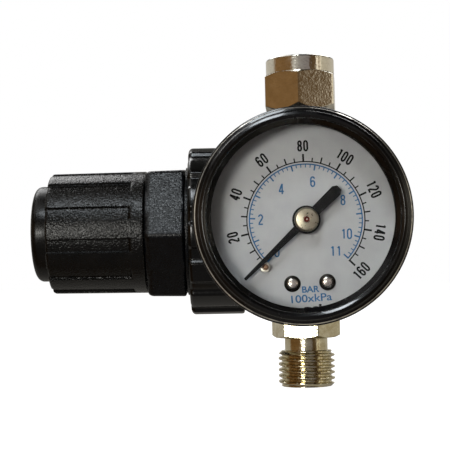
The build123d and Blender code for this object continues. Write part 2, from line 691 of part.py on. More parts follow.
with BuildPart() as gauge_case:
    turned_y(
        [
            (0, CASE_BACK),
            (CASE_R - 1.8, CASE_BACK),
            (CASE_R - 0.6, CASE_BACK - 0.5),
            (CASE_R - 0.1, CASE_BACK - 1.7),
            (CASE_R, CASE_BACK - 3),
            (CASE_R, CASE_FRONT),
            (CASE_R - CASE_WALL, CASE_FRONT),
            (CASE_R - CASE_WALL, CASE_BACK - 2.4),
            (CASE_R - 2.2, CASE_BACK - CASE_WALL),
            (0, CASE_BACK - CASE_WALL),
        ],
        centre=CASE_OFFSET,
    )
    with BuildSketch(across_y(CASE_BACK + 1)) as holes:
        Circle(4.5)
        with Locations(*CASE_SCREWS):
            Circle(1.1)
    extrude(holes.sketch, amount=4, mode=Mode.SUBTRACT)
save(gauge_case, "gauge_case")

with BuildPart() as case_screws:
    for place in CASE_SCREWS:
        turned_y(
            [
                (0, CASE_BACK + 1.2),
                (1.1, CASE_BACK + 1.2),
                (1.6, CASE_BACK + 0.7),
                (1.6, CASE_BACK + 0.02),
                (1.0, CASE_BACK + 0.02),
                (1.0, BLOCK_BACK - 4),
                (0, BLOCK_BACK - 4),
            ],
            centre=place,
        )
    with BuildSketch(across_y(CASE_BACK + 1.3)) as slots:
        with Locations(*CASE_SCREWS):
            Rectangle(3.6, 0.5, rotation=35)
    extrude(slots.sketch, amount=0.7, mode=Mode.SUBTRACT)
save(case_screws, "case_screws")

with BuildPart() as gauge_bezel:
    turned_y(
        [
            (CASE_R + 0.05, BEZEL_BACK),
            (BEZEL_R - 0.5, BEZEL_BACK),
            (BEZEL_R - 0.1, BEZEL_BACK - 0.4),
            (BEZEL_R, BEZEL_BACK - 1.0),
            (BEZEL_R, -50.9),
            (BEZEL_R - 0.15, -51.4),
            (BEZEL_R - 0.5, -51.75),
            (BEZEL_R - 1.0, -51.9),
            (BEZEL_R - 1.15, -52.1),
            (BEZEL_R - 1.25, -52.6),
            (BEZEL_R - 1.5, -52.9),
            (BEZEL_R - 1.8, BEZEL_FRONT),
            (18.9, BEZEL_FRONT),
            (18.6, -52.9),
            (18.4, -52.6),
            (17.8, -51.6),
            (OPENING_R, -51.4),
            (OPENING_R, LENS_FRONT - JOINT_GAP),
            (CASE_R + 0.05, LENS_FRONT - JOINT_GAP),
        ],
        centre=CASE_OFFSET,
    )
save(gauge_bezel, "gauge_bezel")

with BuildPart() as gauge_lens:
    turned_y(flipped(tube(LENS_FRONT, LENS_BACK, LENS_R)), centre=CASE_OFFSET)
save(gauge_lens, "gauge_lens")

with BuildPart() as lens_gasket:
    gasket = tube(LENS_BACK + JOINT_GAP, CASE_FRONT - JOINT_GAP, LENS_R, LENS_R - 0.9)
    turned_y(flipped(gasket), centre=CASE_OFFSET)
save(lens_gasket, "lens_gasket")

with BuildPart() as gauge_dial:
    turned_y(flipped(tube(DIAL_FRONT, DIAL_BACK, DIAL_R)), centre=CASE_OFFSET)
    with BuildSketch(across_y(DIAL_BACK + 1)) as holes:
        Circle(1.3)
        with Locations(*DIAL_SCREWS):
            Circle(0.75)
        with Locations(dial_point(STOP_R, STOP_ANGLE)):
            Circle(0.5)
    extrude(holes.sketch, amount=3, mode=Mode.SUBTRACT)
save(gauge_dial, "gauge_dial")

with BuildPart() as zero_stop_pin:
    place = dial_point(STOP_R, STOP_ANGLE)
    turned_y([(0, -43.2), (0.48, -43.2), (0.48, -46.7), (0.3, -46.9), (0, -46.9)], centre=place)
    turned_y(flipped(tube(DIAL_FRONT - 0.02, DIAL_FRONT - 0.7, 0.9)), centre=place)
save(zero_stop_pin, "zero_stop_pin")

with BuildPart() as dial_screws:
    for place in DIAL_SCREWS:
        turned_y(
            [
                (0, DIAL_FRONT - 0.85),
                (0.75, DIAL_FRONT - 0.75),
                (1.25, DIAL_FRONT - 0.45),
                (1.5, DIAL_FRONT - 0.02),
                (0.65, DIAL_FRONT - 0.02),
                (0.65, FRONT_PLATE_Y - PLATE_T - 0.2),
                (0, FRONT_PLATE_Y - PLATE_T - 0.2),
            ],
            centre=place,
        )
save(dial_screws, "dial_screws")

with BuildPart() as dial_posts:
    for place in DIAL_SCREWS:
        turned_y(flipped(tube(DIAL_BACK + 0.02, FRONT_PLATE_Y - PLATE_T, 1.3, 0.67)), centre=place)
save(dial_posts, "dial_posts")

# ---------------------------------------------------------------- gauge movement

ARBOR_R, PIVOT_GAP = 0.5, 0.05
PINION_ARBOR_R = 0.42
PINION_R, SECTOR_R = MODULE * PINION_TEETH / 2, MODULE * SECTOR_TEETH / 2
SECTOR_CENTRE = (0.0, -(PINION_R + SECTOR_R))
TAIL_START = 150 - SECTOR_SWEEP / 2
TAIL_PIN = (
    SECTOR_CENTRE[0] + TAIL_R * cos(radians(TAIL_START)),
    SECTOR_CENTRE[1] + TAIL_R * sin(radians(TAIL_START)),
)
PULL = (cos(radians(240)), sin(radians(240)))  # the way the link moves
TIP_PIN = (TAIL_PIN[0] + LINK_LENGTH * PULL[0], TAIL_PIN[1] + LINK_LENGTH * PULL[1])


def plate_outline(half_width):
    """The face of a movement plate, wide enough for the pillar and the posts at its lower end."""
    with Locations((0, -2.0)):
        RectangleRounded(2 * half_width, 23, 3)
    with Locations((1.0, -12.2)):
        RectangleRounded(2 * half_width + 1.6, 4.4, 2)


with BuildPart() as back_plate:
    with BuildSketch(across_y(BACK_PLATE_Y)) as face:
        plate_outline(3.4)
        with Locations((0, 0)):
            Circle(PINION_ARBOR_R + PIVOT_GAP, mode=Mode.SUBTRACT)
        with Locations(SECTOR_CENTRE):
            Circle(ARBOR_R + PIVOT_GAP, mode=Mode.SUBTRACT)
        with Locations((-2, 4), (2, 4)):
            Circle(0.75, mode=Mode.SUBTRACT)
    extrude(face.sketch, amount=PLATE_T)
save(back_plate, "back_plate")

with BuildPart() as front_plate:
    with BuildSketch(across_y(FRONT_PLATE_Y)) as face:
        plate_outline(4.6)
        with Locations((0, 0)):
            Circle(PINION_ARBOR_R + PIVOT_GAP, mode=Mode.SUBTRACT)
        with Locations(SECTOR_CENTRE):
            Circle(ARBOR_R + PIVOT_GAP, mode=Mode.SUBTRACT)
    extrude(face.sketch, amount=PLATE_T)
save(front_plate, "front_plate")

with BuildPart() as movement_pillars:
    for place in PILLARS:
        turned_y(flipped(tube(BACK_PLATE_Y - PLATE_T, FRONT_PLATE_Y, 1.1)), centre=place)
save(movement_pillars, "movement_pillars")

with BuildPart() as movement_screws:
    for side in (-2, 2):
        head = BACK_PLATE_Y - PLATE_T - 0.02
        turned_y(flipped(tube(head - 0.6, head, 1.2)), centre=(side, 4))
        turned_y(flipped(tube(head, BACK_PLATE_Y, 0.7)), centre=(side, 4))
save(movement_screws, "movement_screws")


def tooth(radius, angle, half_tip, half_pitch, half_root, root):
    """One straight-sided tooth, as a closed outline that reaches 0.8 of a module past the pitch circle."""
    across = [(root, half_root), (radius, half_pitch), (radius + 0.8 * MODULE, half_tip)]
    points = across + [(r, -w) for r, w in reversed(across)]
    c, s = cos(radians(angle)), sin(radians(angle))
    return [(r * c - w * s, r * s + w * c) for r, w in points]


with BuildPart() as pinion:
    with BuildSketch(across_y(SECTOR_Y + 0.2)) as face:
        root = PINION_R - 1.2 * MODULE
        Circle(root)
        for index in range(PINION_TEETH):
            with BuildLine():
                angle = -90 + index * 360 / PINION_TEETH
                Polyline(tooth(PINION_R, angle, 0.05, 0.11, 0.13, root - 0.05), close=True)
            make_face()
    extrude(face.sketch, amount=SECTOR_T + 0.4)
    turned_y(flipped(tube(BACK_PLATE_Y - 0.1, -48.05, PINION_ARBOR_R)))
    turned_y(flipped(tube(-39.9, -40.6, 0.85)))
save(pinion, "pinion")

with BuildPart() as sector_gear:
    with BuildSketch(across_y(SECTOR_Y)) as face:
        with Locations(SECTOR_CENTRE):
            Circle(1.6)
        root = SECTOR_R - 1.2 * MODULE
        tail = (TAIL_PIN[0] - SECTOR_CENTRE[0], TAIL_PIN[1] - SECTOR_CENTRE[1])
        with Locations(SECTOR_CENTRE):
            # The toothed rim, its two spokes and the tail.
            with BuildLine(mode=Mode.PRIVATE) as rim:
                start, sweep_angle = 52, 43
                outer = CenterArc((0, 0), root, start, sweep_angle)
                inner = CenterArc((0, 0), root - 1.2, start, sweep_angle)
                Line(outer @ 0, inner @ 0)
                Line(outer @ 1, inner @ 1)
            add(make_face(rim.edges(), mode=Mode.PRIVATE))
            for angle in (56, 91):
                with Locations(Location((0, 0), angle)):
                    with Locations((root / 2, 0)):
                        Rectangle(root - 0.6, 1.1)
            with Locations(Location((0, 0), TAIL_START)):
                with Locations((TAIL_R / 2, 0)):
                    Rectangle(TAIL_R, 1.3)
            with Locations(tail):
                Circle(0.8)
        for index in range(-1, 11):
            angle = 90 - (index + 0.5) * 360 / SECTOR_TEETH
            points = tooth(SECTOR_R, angle, 0.05, 0.11, 0.17, root - 0.1)
            with BuildLine():
                Polyline([(u, v + SECTOR_CENTRE[1]) for u, v in points], close=True)
            make_face()
        with Locations(SECTOR_CENTRE):
            Circle(ARBOR_R, mode=Mode.SUBTRACT)
    extrude(face.sketch, amount=SECTOR_T)
    turned_y(flipped(tube(SECTOR_Y, SECTOR_Y + 1.9, 0.35)), centre=TAIL_PIN)
save(sector_gear, "sector_gear")

with BuildPart() as sector_arbor:
    turned_y(flipped(tube(BACK_PLATE_Y - 0.1, FRONT_PLATE_Y - PLATE_T + 0.1, ARBOR_R)), centre=SECTOR_CENTRE)
save(sector_arbor, "sector_arbor")

with BuildPart() as link:
    with BuildSketch(across_y(-37.05)) as face:
        middle = ((TAIL_PIN[0] + TIP_PIN[0]) / 2, (TAIL_PIN[1] + TIP_PIN[1]) / 2)
        with Locations(Location(middle, 240)):
            SlotCenterToCenter(LINK_LENGTH, 2.2)
        with Locations(TAIL_PIN):
            Circle(0.65, mode=Mode.SUBTRACT)
        with Locations(TIP_PIN):
            Circle(0.45, mode=Mode.SUBTRACT)
    extrude(face.sketch, amount=0.7)
save(link, "link")

with BuildPart() as tube_tip:
    with BuildSketch(across_y(-28.5)) as face:
        with Locations(Location(TIP_PIN, 247.4)):
            RectangleRounded(2.2, 2.4, 0.4)
    extrude(face.sketch, amount=7.8)
    turned_y(flipped(tube(-36.3, -37.95, 0.4)), centre=TIP_PIN)
save(tube_tip, "tube_tip")

with BuildPart() as bourdon_tube:
    root_turn, tip_turn = -33.0, 241.6
    here = (GAUGE_X + TUBE_R * cos(radians(root_turn)), -31.5, GAUGE_Z + TUBE_R * sin(radians(root_turn)))
    outward = (cos(radians(root_turn)), 0, sin(radians(root_turn)))
    along = (-sin(radians(root_turn)), 0, cos(radians(root_turn)))
    with BuildSketch(Plane(origin=here, x_dir=outward, z_dir=along)) as section:
        RectangleRounded(1.6, 6.0, 0.7)
        RectangleRounded(1.0, 5.4, 0.4, mode=Mode.SUBTRACT)
    revolve(section.sketch, axis=GAUGE_AXIS, revolution_arc=-(tip_turn - root_turn))
save(bourdon_tube, "bourdon_tube")

with BuildPart() as hairspring:
    turns, first, last, thick = 4.0, 1.05, 3.3, 0.14
    steps = 40
    spiral = [(first + (last - first) * k / steps, 2 * pi * turns * k / steps) for k in range(steps + 1)]
    with BuildSketch(across_y(-40.0)) as face:
        with BuildLine():
            inner = Spline([(r * cos(a), r * sin(a)) for r, a in spiral])
            outer = Spline([((r + thick) * cos(a), (r + thick) * sin(a)) for r, a in spiral])
            Line(inner @ 0, outer @ 0)
            Line(inner @ 1, outer @ 1)
        make_face()
    extrude(face.sketch, amount=0.5)
save(hairspring, "hairspring")

POINTER_BOSS_R, POINTER_HUB_R = 2.75, 2.35

with BuildPart() as pointer:
    with BuildSketch(across_y(POINTER_Y)) as face:
        right_side = [
            (0.3, POINTER_TIP),
            (0.75, POINTER_BOSS_R - 0.4),
            (1.0, -POINTER_BOSS_R + 0.4),
            (1.15, -POINTER_TAIL + 0.8),
            (0.6, -POINTER_TAIL),
        ]
        left_side = [(-u, v) for u, v in reversed(right_side)]
        Polygon(*right_side, *left_side, rotation=-POINTER_ZERO, align=None)
        Circle(POINTER_BOSS_R)
        Circle(1.25, mode=Mode.SUBTRACT)
    extrude(face.sketch, amount=POINTER_T)
save(pointer, "pointer")

with BuildPart() as pointer_hub:
    turned_y(
        [
            (PINION_ARBOR_R + 0.02, -45.2),
            (1.2, -45.2),
            (1.2, POINTER_Y - POINTER_T - 0.02),
            (POINTER_HUB_R, POINTER_Y - POINTER_T - 0.02),
            (POINTER_HUB_R, -47.5),
            (POINTER_HUB_R - 0.3, -47.8),
            (PINION_ARBOR_R + 0.02, -47.8),
        ]
    )
save(pointer_hub, "pointer_hub")
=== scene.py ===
"""The looks of an in-line air pressure regulator: a black fluted knob, bonnet and clamp ring, a glossy gauge,
and nickel-plated fittings above and below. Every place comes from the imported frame; lengths are in metres."""

import json
import math

import bmesh
import bpy
import numpy as np
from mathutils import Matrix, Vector


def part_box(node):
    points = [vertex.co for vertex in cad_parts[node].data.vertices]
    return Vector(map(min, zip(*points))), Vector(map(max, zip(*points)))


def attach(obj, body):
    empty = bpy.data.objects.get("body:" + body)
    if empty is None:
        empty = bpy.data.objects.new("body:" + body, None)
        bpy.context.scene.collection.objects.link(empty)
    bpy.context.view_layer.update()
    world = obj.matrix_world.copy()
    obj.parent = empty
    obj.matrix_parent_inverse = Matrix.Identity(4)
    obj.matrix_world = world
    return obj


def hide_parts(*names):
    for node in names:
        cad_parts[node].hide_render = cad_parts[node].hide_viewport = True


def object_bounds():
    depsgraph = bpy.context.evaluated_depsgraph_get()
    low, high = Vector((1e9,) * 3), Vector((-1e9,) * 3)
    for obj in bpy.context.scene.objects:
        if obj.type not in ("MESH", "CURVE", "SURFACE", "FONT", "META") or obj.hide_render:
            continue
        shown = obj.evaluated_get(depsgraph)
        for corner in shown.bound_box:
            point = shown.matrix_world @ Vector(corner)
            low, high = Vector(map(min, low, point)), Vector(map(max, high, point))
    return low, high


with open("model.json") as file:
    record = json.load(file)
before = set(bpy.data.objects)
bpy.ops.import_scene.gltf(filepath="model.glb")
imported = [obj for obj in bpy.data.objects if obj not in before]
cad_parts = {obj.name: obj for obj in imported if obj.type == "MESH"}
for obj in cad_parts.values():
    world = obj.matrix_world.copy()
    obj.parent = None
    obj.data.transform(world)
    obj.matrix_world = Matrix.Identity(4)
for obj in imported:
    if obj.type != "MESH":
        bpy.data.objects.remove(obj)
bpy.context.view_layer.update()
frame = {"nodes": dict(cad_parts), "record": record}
nodes = frame["nodes"]
bodies = frame["record"]["behaviour"]["bodies"]

MM = 0.001
TAU = 2 * math.pi


def span(node, axis):
    """A node's lowest and highest place along an axis, in millimetres."""
    low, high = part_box(node)
    return low[axis] / MM, high[axis] / MM


def centre(node, axis):
    low, high = span(node, axis)
    return (low + high) / 2


def radius_of(node, axis=2):
    """The outer radius of a round node, as half its size along an axis."""
    low, high = span(node, axis)
    return (high - low) / 2


KNOB_Z = centre("knob", 2)
CASE_X, CASE_Z = centre("gauge_case", 0), centre("gauge_case", 2)
DIAL_X, DIAL_Z = centre("pointer_hub", 0), centre("pointer_hub", 2)

# ---------------------------------------------------------------- turned meshes


def rounded(points, steps=5):
    """An outline of (along, radius, fillet) points with its corners rounded, as (along, radius) points."""
    result = []
    count = len(points)
    for index, (along, radius, fillet) in enumerate(points):
        here = np.array([along, radius])
        before = np.array(points[index - 1][:2])
        after = np.array(points[(index + 1) % count][:2])
        if fillet == 0:
            result.append(tuple(here))
            continue
        back = (before - here) / np.linalg.norm(before - here)
        ahead = (after - here) / np.linalg.norm(after - here)
        half = math.acos(float(np.clip(back @ ahead, -1, 1))) / 2
        reach = fillet / math.tan(half)
        middle = here + (back + ahead) / np.linalg.norm(back + ahead) * fillet / math.sin(half)
        start, end = here + back * reach - middle, here + ahead * reach - middle
        turn = math.atan2(start[0] * end[1] - start[1] * end[0], start @ end)
        for step in range(steps + 1):
            angle = turn * step / steps
            c, s = math.cos(angle), math.sin(angle)
            result.append((middle[0] + c * start[0] - s * start[1], middle[1] + s * start[0] + c * start[1]))
    return result


def divided(points, longest):
    """The same outline with extra points, so that no step is longer than longest."""
    result = []
    for (a0, r0), (a1, r1) in zip(points, points[1:] + points[:1]):
        pieces = max(1, math.ceil(math.hypot(a1 - a0, r1 - r0) / longest))
        result += [(a0 + (a1 - a0) * k / pieces, r0 + (r1 - r0) * k / pieces) for k in range(pieces)]
    return result


def disc(front, back, radius, fillet):
    """The outline of a plain disc."""
    return rounded([(front, 0, 0), (front, radius, fillet), (back, radius, fillet), (back, 0, 0)])


def place_x(along, radius, angle):
    """About the knob axis: angle 0 faces the front and grows downwards."""
    return along, -radius * np.cos(angle), KNOB_Z - radius * np.sin(angle)


def about_y(x, z):
    """About an axis along Y through x and z: angle 0 points up and grows clockwise, like the dial's scale."""
    return lambda along, radius, angle: (x + radius * np.sin(angle), along, z + radius * np.cos(angle))


place_case = about_y(CASE_X, CASE_Z)
place_dial = about_y(DIAL_X, DIAL_Z)


def place_z(along, radius, angle):
    """About the port axis: angle 0 faces the front and grows towards +X."""
    return radius * np.sin(angle), -radius * np.cos(angle), along


def mesh_object(name, vertices, faces, material, sharp=32):
    """A mesh piece from vertices in millimetres, smooth except across edges sharper than sharp degrees."""
    mesh = bpy.data.meshes.new(name)
    mesh.from_pydata(np.asarray(vertices) * MM, [], faces)
    mesh.validate()
    mesh.shade_smooth()
    mesh.set_sharp_from_angle(angle=math.radians(sharp))
    mesh.materials.append(material)
    piece = bpy.data.objects.new(name, mesh)
    bpy.context.scene.collection.objects.link(piece)
    return piece


def turned(name, place, outline, material, segments=192, shape=None, sharp=32):
    """Turn a closed (along, radius) outline about an axis.

    shape(along, radius, angle), if given, returns the radius to use instead."""
    along = np.array([p[0] for p in outline])[:, None]
    radius = np.array([p[1] for p in outline])[:, None]
    angle = (np.arange(segments) * TAU / segments)[None, :]
    radii = shape(along, radius, angle) if shape else radius + 0 * angle
    x, y, z = (np.broadcast_to(v, radii.shape) for v in place(along, radii, angle))
    vertices = np.stack([x, y, z], axis=-1).reshape(-1, 3)
    rows = len(outline)
    faces = []
    for row in range(rows):
        following = (row + 1) % rows
        if radii[row].max() < 1e-6 and radii[following].max() < 1e-6:
            continue
        for column in range(segments):
            right = (column + 1) % segments
            corners = (
                row * segments + column,
                row * segments + right,
                following * segments + right,
                following * segments + column,
            )
            faces.append(corners)
    piece = mesh_object(name, vertices, faces, material, sharp)
    weld(piece)
    return piece


def weld(piece):
    """Join the points that meet on the axis, and face every normal outwards."""
    work = bmesh.new()
    work.from_mesh(piece.data)
    bmesh.ops.remove_doubles(work, verts=work.verts, dist=1e-7)
    bmesh.ops.recalc_face_normals(work, faces=work.faces)
    work.to_mesh(piece.data)
    work.free()


def body_of(node):
    return next(name for name, members in bodies.items() if node in members)


def stands_for(piece, node):
    """Let a piece replace a CAD node, and move with that node's body."""
    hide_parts(node)
    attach(piece, body_of(node))
    return piece


def ramp(value, start, end):
    """0 up to start, 1 from end, and smooth between them."""
    step = np.clip((value - start) / (end - start), 0, 1)
    return step * step * (3 - 2 * step)


def bump_between(angle, count, phase, half_width, edge):
    """1 near each of count evenly spaced angles and 0 between, with soft edges."""
    pitch = TAU / count
    offset = np.abs((angle - phase + pitch / 2) % pitch - pitch / 2)
    return ramp(half_width - offset, -edge / 2, edge / 2)


def hexagon_radius(angle, flat, phase, corner_radius):
    """The radius of a hexagon with rounded corners, one of them at phase."""
    offset = (angle - phase + math.pi / 6) % (math.pi / 3) - math.pi / 6
    away = math.pi / 6 - np.abs(offset)
    straight = flat / np.cos(away)
    inner = flat - corner_radius
    core = inner / math.cos(math.pi / 6)
    reach = core * np.cos(offset) + np.sqrt(np.maximum(corner_radius**2 - (core * np.sin(offset)) ** 2, 0))
    near = np.abs(core * np.sin(offset)) < corner_radius * 0.5
    return np.where(near, np.minimum(reach, straight), straight)


# ---------------------------------------------------------------- materials


class Nodes:
    """A material's node tree, with short calls for what every material here uses."""

    def __init__(self, name, **sockets):
        self.material = bpy.data.materials.new(name)
        self.material.use_nodes = True
        self.tree = self.material.node_tree
        self.shader = self.tree.nodes["Principled BSDF"]
        self.output = self.tree.nodes["Material Output"]
        self.place = self.add("ShaderNodeTexCoord").outputs["Object"]
        for socket, value in sockets.items():
            self.shader.inputs[socket.replace("_", " ")].default_value = value

    def add(self, kind, **values):
        node = self.tree.nodes.new(kind)
        for key, value in values.items():
            setattr(node, key, value)
        return node

    def link(self, source, target):
        self.tree.links.new(source, target)

    def noise(self, size_mm, detail=2.0, roughness=0.5, stretch=None):
        """A noise value between about 0.3 and 0.7, with grains of size_mm."""
        node = self.add("ShaderNodeTexNoise")
        node.inputs["Scale"].default_value = 1 / (size_mm * MM)
        node.inputs["Detail"].default_value = detail
        node.inputs["Roughness"].default_value = roughness
        source = self.place
        if stretch:
            mapping = self.add("ShaderNodeMapping")
            mapping.inputs["Scale"].default_value = stretch
            self.link(source, mapping.inputs["Vector"])
            source = mapping.outputs["Vector"]
        self.link(source, node.inputs["Vector"])
        return node.outputs["Fac"]

    def spots(self, size_mm):
        """The distance to the nearest of many scattered points."""
        node = self.add("ShaderNodeTexVoronoi")
        node.inputs["Scale"].default_value = 1 / (size_mm * MM)
        self.link(self.place, node.inputs["Vector"])
        return node.outputs["Distance"]

    def mapped(self, value, low, high, to_low, to_high):
        node = self.add("ShaderNodeMapRange")
        for socket, number in zip(("From Min", "From Max", "To Min", "To Max"), (low, high, to_low, to_high)):
            node.inputs[socket].default_value = number
        self.link(value, node.inputs["Value"])
        return node.outputs["Result"]

    def colours(self, value, low, high, first, second):
        """A colour that goes from first at low to second at high."""
        node = self.add("ShaderNodeValToRGB")
        node.color_ramp.elements[0].position = low
        node.color_ramp.elements[0].color = (*first, 1)
        node.color_ramp.elements[1].position = high
        node.color_ramp.elements[1].color = (*second, 1)
        self.link(value, node.inputs["Fac"])
        return node.outputs["Color"]

    def maths(self, operation, first, second=0.0):
        """A maths node's result for one or two values, which may be plain numbers."""
        node = self.add("ShaderNodeMath", operation=operation)
        for socket, value in zip(node.inputs, (first, second)):
            if isinstance(value, (int, float)):
                socket.default_value = value
            else:
                self.link(value, socket)
        return node.outputs["Value"]

    def mixed(self, factor, first, second):
        """The colour first, from a node, giving way to the plain colour second as factor grows."""
        node = self.add("ShaderNodeMix", data_type="RGBA")
        self.link(factor, node.inputs["Factor"])
        self.link(first, node.inputs["A"])
        node.inputs["B"].default_value = (*second, 1)
        return node.outputs["Result"]

    def clear_for(self, ray, tint):
        """Let one kind of ray, such as shadow rays, pass through, tinted."""
        clear = self.add("ShaderNodeBsdfTransparent")
        clear.inputs["Color"].default_value = (*tint, 1)
        mix = self.add("ShaderNodeMixShader")
        self.link(self.add("ShaderNodeLightPath").outputs[ray], mix.inputs["Fac"])
        self.link(self.shader.outputs["BSDF"], mix.inputs[1])
        self.link(clear.outputs["BSDF"], mix.inputs[2])
        self.link(mix.outputs["Shader"], self.output.inputs["Surface"])

    def bump(self, height, depth_mm, strength=1.0, before=None):
        node = self.add("ShaderNodeBump")
        node.inputs["Distance"].default_value = depth_mm * MM
        node.inputs["Strength"].default_value = strength
        self.link(height, node.inputs["Height"])
        if before is not None:
            self.link(before, node.inputs["Normal"])
        return node.outputs["Normal"]

    def to(self, socket, value):
        self.link(value, self.shader.inputs[socket])


def moulded_black(name, grain_mm, depth_mm, rough, first, second, coat=0.0, shine=0.22):
    """Black plastic from a spark-eroded mould, with a fine grain and a little dust in it.

    The roughness goes from rough[0] to rough[1] over the grain, and the colour from first to second."""
    n = Nodes(name, Metallic=0.0, Coat_Weight=coat, Coat_Roughness=0.18)
    n.shader.inputs["Specular IOR Level"].default_value = shine
    grain = n.noise(grain_mm, 1, 0.5)
    broad = n.noise(9, 2)
    n.to("Base Color", n.colours(n.noise(3.5, 4, 0.65), 0.38, 0.68, first, second))
    fine_part = n.mapped(grain, 0.35, 0.65, *rough)
    broad_part = n.mapped(broad, 0.3, 0.7, -0.05, 0.05)
    n.to("Roughness", n.maths("ADD", fine_part, broad_part))
    n.to("Normal", n.bump(n.noise(grain_mm * 3.1, 2), depth_mm, 0.5, n.bump(grain, depth_mm, 1.0)))
    return n.material


def distance_from(n, radius_mm):
    """How far, in metres, a point is from a cylinder of some radius about the gauge case's axis."""
    split = n.add("ShaderNodeSeparateXYZ")
    n.link(n.place, split.inputs["Vector"])
    right = n.maths("SUBTRACT", split.outputs["X"], CASE_X * MM)
    up = n.maths("SUBTRACT", split.outputs["Z"], CASE_Z * MM)
    squares = n.maths("ADD", n.maths("MULTIPLY", right, right), n.maths("MULTIPLY", up, up))
    return n.maths("ABSOLUTE", n.maths("SUBTRACT", n.maths("SQRT", squares), radius_mm * MM))


def gloss_black(name, edge_mm=None):
    """Black enamel over pressed steel, with a slight orange peel. At the radius edge_mm, if given, a patchy
    pale metallic band is painted on as a highlight line.
    """
    n = Nodes(name, Metallic=0.0, Coat_Weight=0.4, Coat_Roughness=0.03)
    n.shader.inputs["Specular IOR Level"].default_value = 0.3
    enamel = n.colours(n.noise(6, 3), 0.35, 0.7, (0.0015, 0.0015, 0.002), (0.004, 0.004, 0.004))
    if edge_mm:
        # A pale metallic band at radius edge_mm, made patchy by noise: a painted highlight along the bezel's
        # edge.
        band = n.mapped(distance_from(n, edge_mm), 0.07 * MM, 0.12 * MM, 1, 0)
        highlight_band = n.maths("MULTIPLY", band, n.mapped(n.noise(1.5, 3), 0.35, 0.5, 0.3, 1))
        enamel = n.mixed(highlight_band, enamel, (0.75, 0.72, 0.66))
        n.to("Metallic", highlight_band)
    n.to("Base Color", enamel)
    n.to("Roughness", n.mapped(n.noise(2.5, 4), 0.3, 0.7, 0.14, 0.3))
    n.to("Normal", n.bump(n.noise(1.6, 2), 0.012, 0.35))
    return n.material


def plated(name, first, second, rough):
    """Nickel over machined brass: bright, slightly uneven, with fine turning marks."""
    n = Nodes(name, Metallic=1.0)
    n.to("Base Color", n.colours(n.noise(2.2, 4, 0.6), 0.35, 0.7, first, second))
    n.to("Roughness", n.mapped(n.noise(1.1, 5, 0.65), 0.3, 0.7, *rough))
    lines = n.noise(0.35, 2, 0.5, stretch=(0.15, 0.15, 1.0))
    n.to("Normal", n.bump(n.noise(0.5, 1), 0.045, 0.5, n.bump(lines, 0.003, 0.35)))
    return n.material


def machined(name, first, second, rough, depth_mm=0.008):
    """Bare machined or drawn metal."""
    n = Nodes(name, Metallic=1.0)
    n.to("Base Color", n.colours(n.noise(1.5, 3), 0.35, 0.7, first, second))
    n.to("Roughness", n.mapped(n.noise(0.5, 3), 0.3, 0.7, *rough))
    n.to("Normal", n.bump(n.noise(0.25, 3), depth_mm, 0.5))
    return n.material


def rubber(name):
    """Dull black rubber."""
    n = Nodes(name, Metallic=0.0)
    n.to("Base Color", n.colours(n.noise(2.5, 3), 0.35, 0.7, (0.012, 0.012, 0.012), (0.03, 0.029, 0.028)))
    n.to("Roughness", n.mapped(n.noise(0.6, 3), 0.3, 0.7, 0.6, 0.85))
    n.to("Normal", n.bump(n.noise(0.3, 3), 0.02, 0.6))
    return n.material


def dial_paint(name):
    """Matt pale grey paint with faint mottling and a few dark specks."""
    n = Nodes(name, Metallic=0.0)
    mottled = n.colours(n.noise(7, 4, 0.6), 0.3, 0.72, (0.315, 0.31, 0.315), (0.39, 0.385, 0.39))
    speck = n.maths("LESS_THAN", n.spots(3.6), 0.028)
    chosen = n.maths("MULTIPLY", speck, n.maths("GREATER_THAN", n.noise(5.0), 0.52))
    n.to("Base Color", n.mixed(chosen, mottled, (0.05, 0.045, 0.04)))
    n.to("Roughness", n.mapped(n.noise(1.5, 3), 0.3, 0.7, 0.5, 0.62))
    n.to("Normal", n.bump(n.noise(0.2, 2), 0.01, 0.3))
    return n.material


def ink(name, first, second):
    """Matt printing ink or paint."""
    n = Nodes(name, Metallic=0.0)
    n.to("Base Color", n.colours(n.noise(0.8, 4), 0.35, 0.65, first, second))
    n.shader.inputs["Specular IOR Level"].default_value = 0.08
    n.to("Roughness", n.mapped(n.noise(0.5, 2), 0.3, 0.7, 0.5, 0.65))
    return n.material


def clear_lens(name):
    """Clear glass that lets lamps through, so that the dial behind it is lit."""
    n = Nodes(name, Metallic=0.0, Transmission_Weight=1.0, IOR=1.13)
    n.shader.inputs["Base Color"].default_value = (0.97, 0.98, 0.98, 1)
    n.to("Roughness", n.mapped(n.noise(12, 3), 0.4, 0.75, 0.0, 0.012))
    n.clear_for("Is Shadow Ray", (0.96, 0.97, 0.97))
    return n.material


# Each black varies between two colours.
BLACK, SOFT_BLACK = (0.001, 0.001, 0.001), (0.003, 0.003, 0.003)
KNOB_BLACK = moulded_black("knob_black", 0.36, 0.1, (0.2, 0.3), BLACK, (0.004, 0.0035, 0.003), 0, 0.3)
BLUISH = (0.001, 0.0013, 0.002), (0.003, 0.004, 0.006)
BONNET_BLACK = moulded_black("bonnet_black", 0.4, 0.09, (0.22, 0.38), *BLUISH, 0, 0.3)
RING_BLACK = moulded_black("ring_black", 0.5, 0.008, (0.16, 0.26), BLACK, SOFT_BLACK, 0.3)
BROWNISH = (0.002, 0.0017, 0.0015), (0.006, 0.005, 0.004)
CAP_BLACK = moulded_black("cap_black", 0.4, 0.012, (0.24, 0.36), *BROWNISH)
CAST_GREYS = (0.006, 0.006, 0.0065), (0.014, 0.014, 0.014)
CAST_BLACK = moulded_black("cast_black", 0.6, 0.03, (0.35, 0.5), *CAST_GREYS)
GAUGE_BLACK = gloss_black("gauge_black")
EDGE_R = radius_of("gauge_bezel") - 0.4  # where the bezel's painted highlight band sits
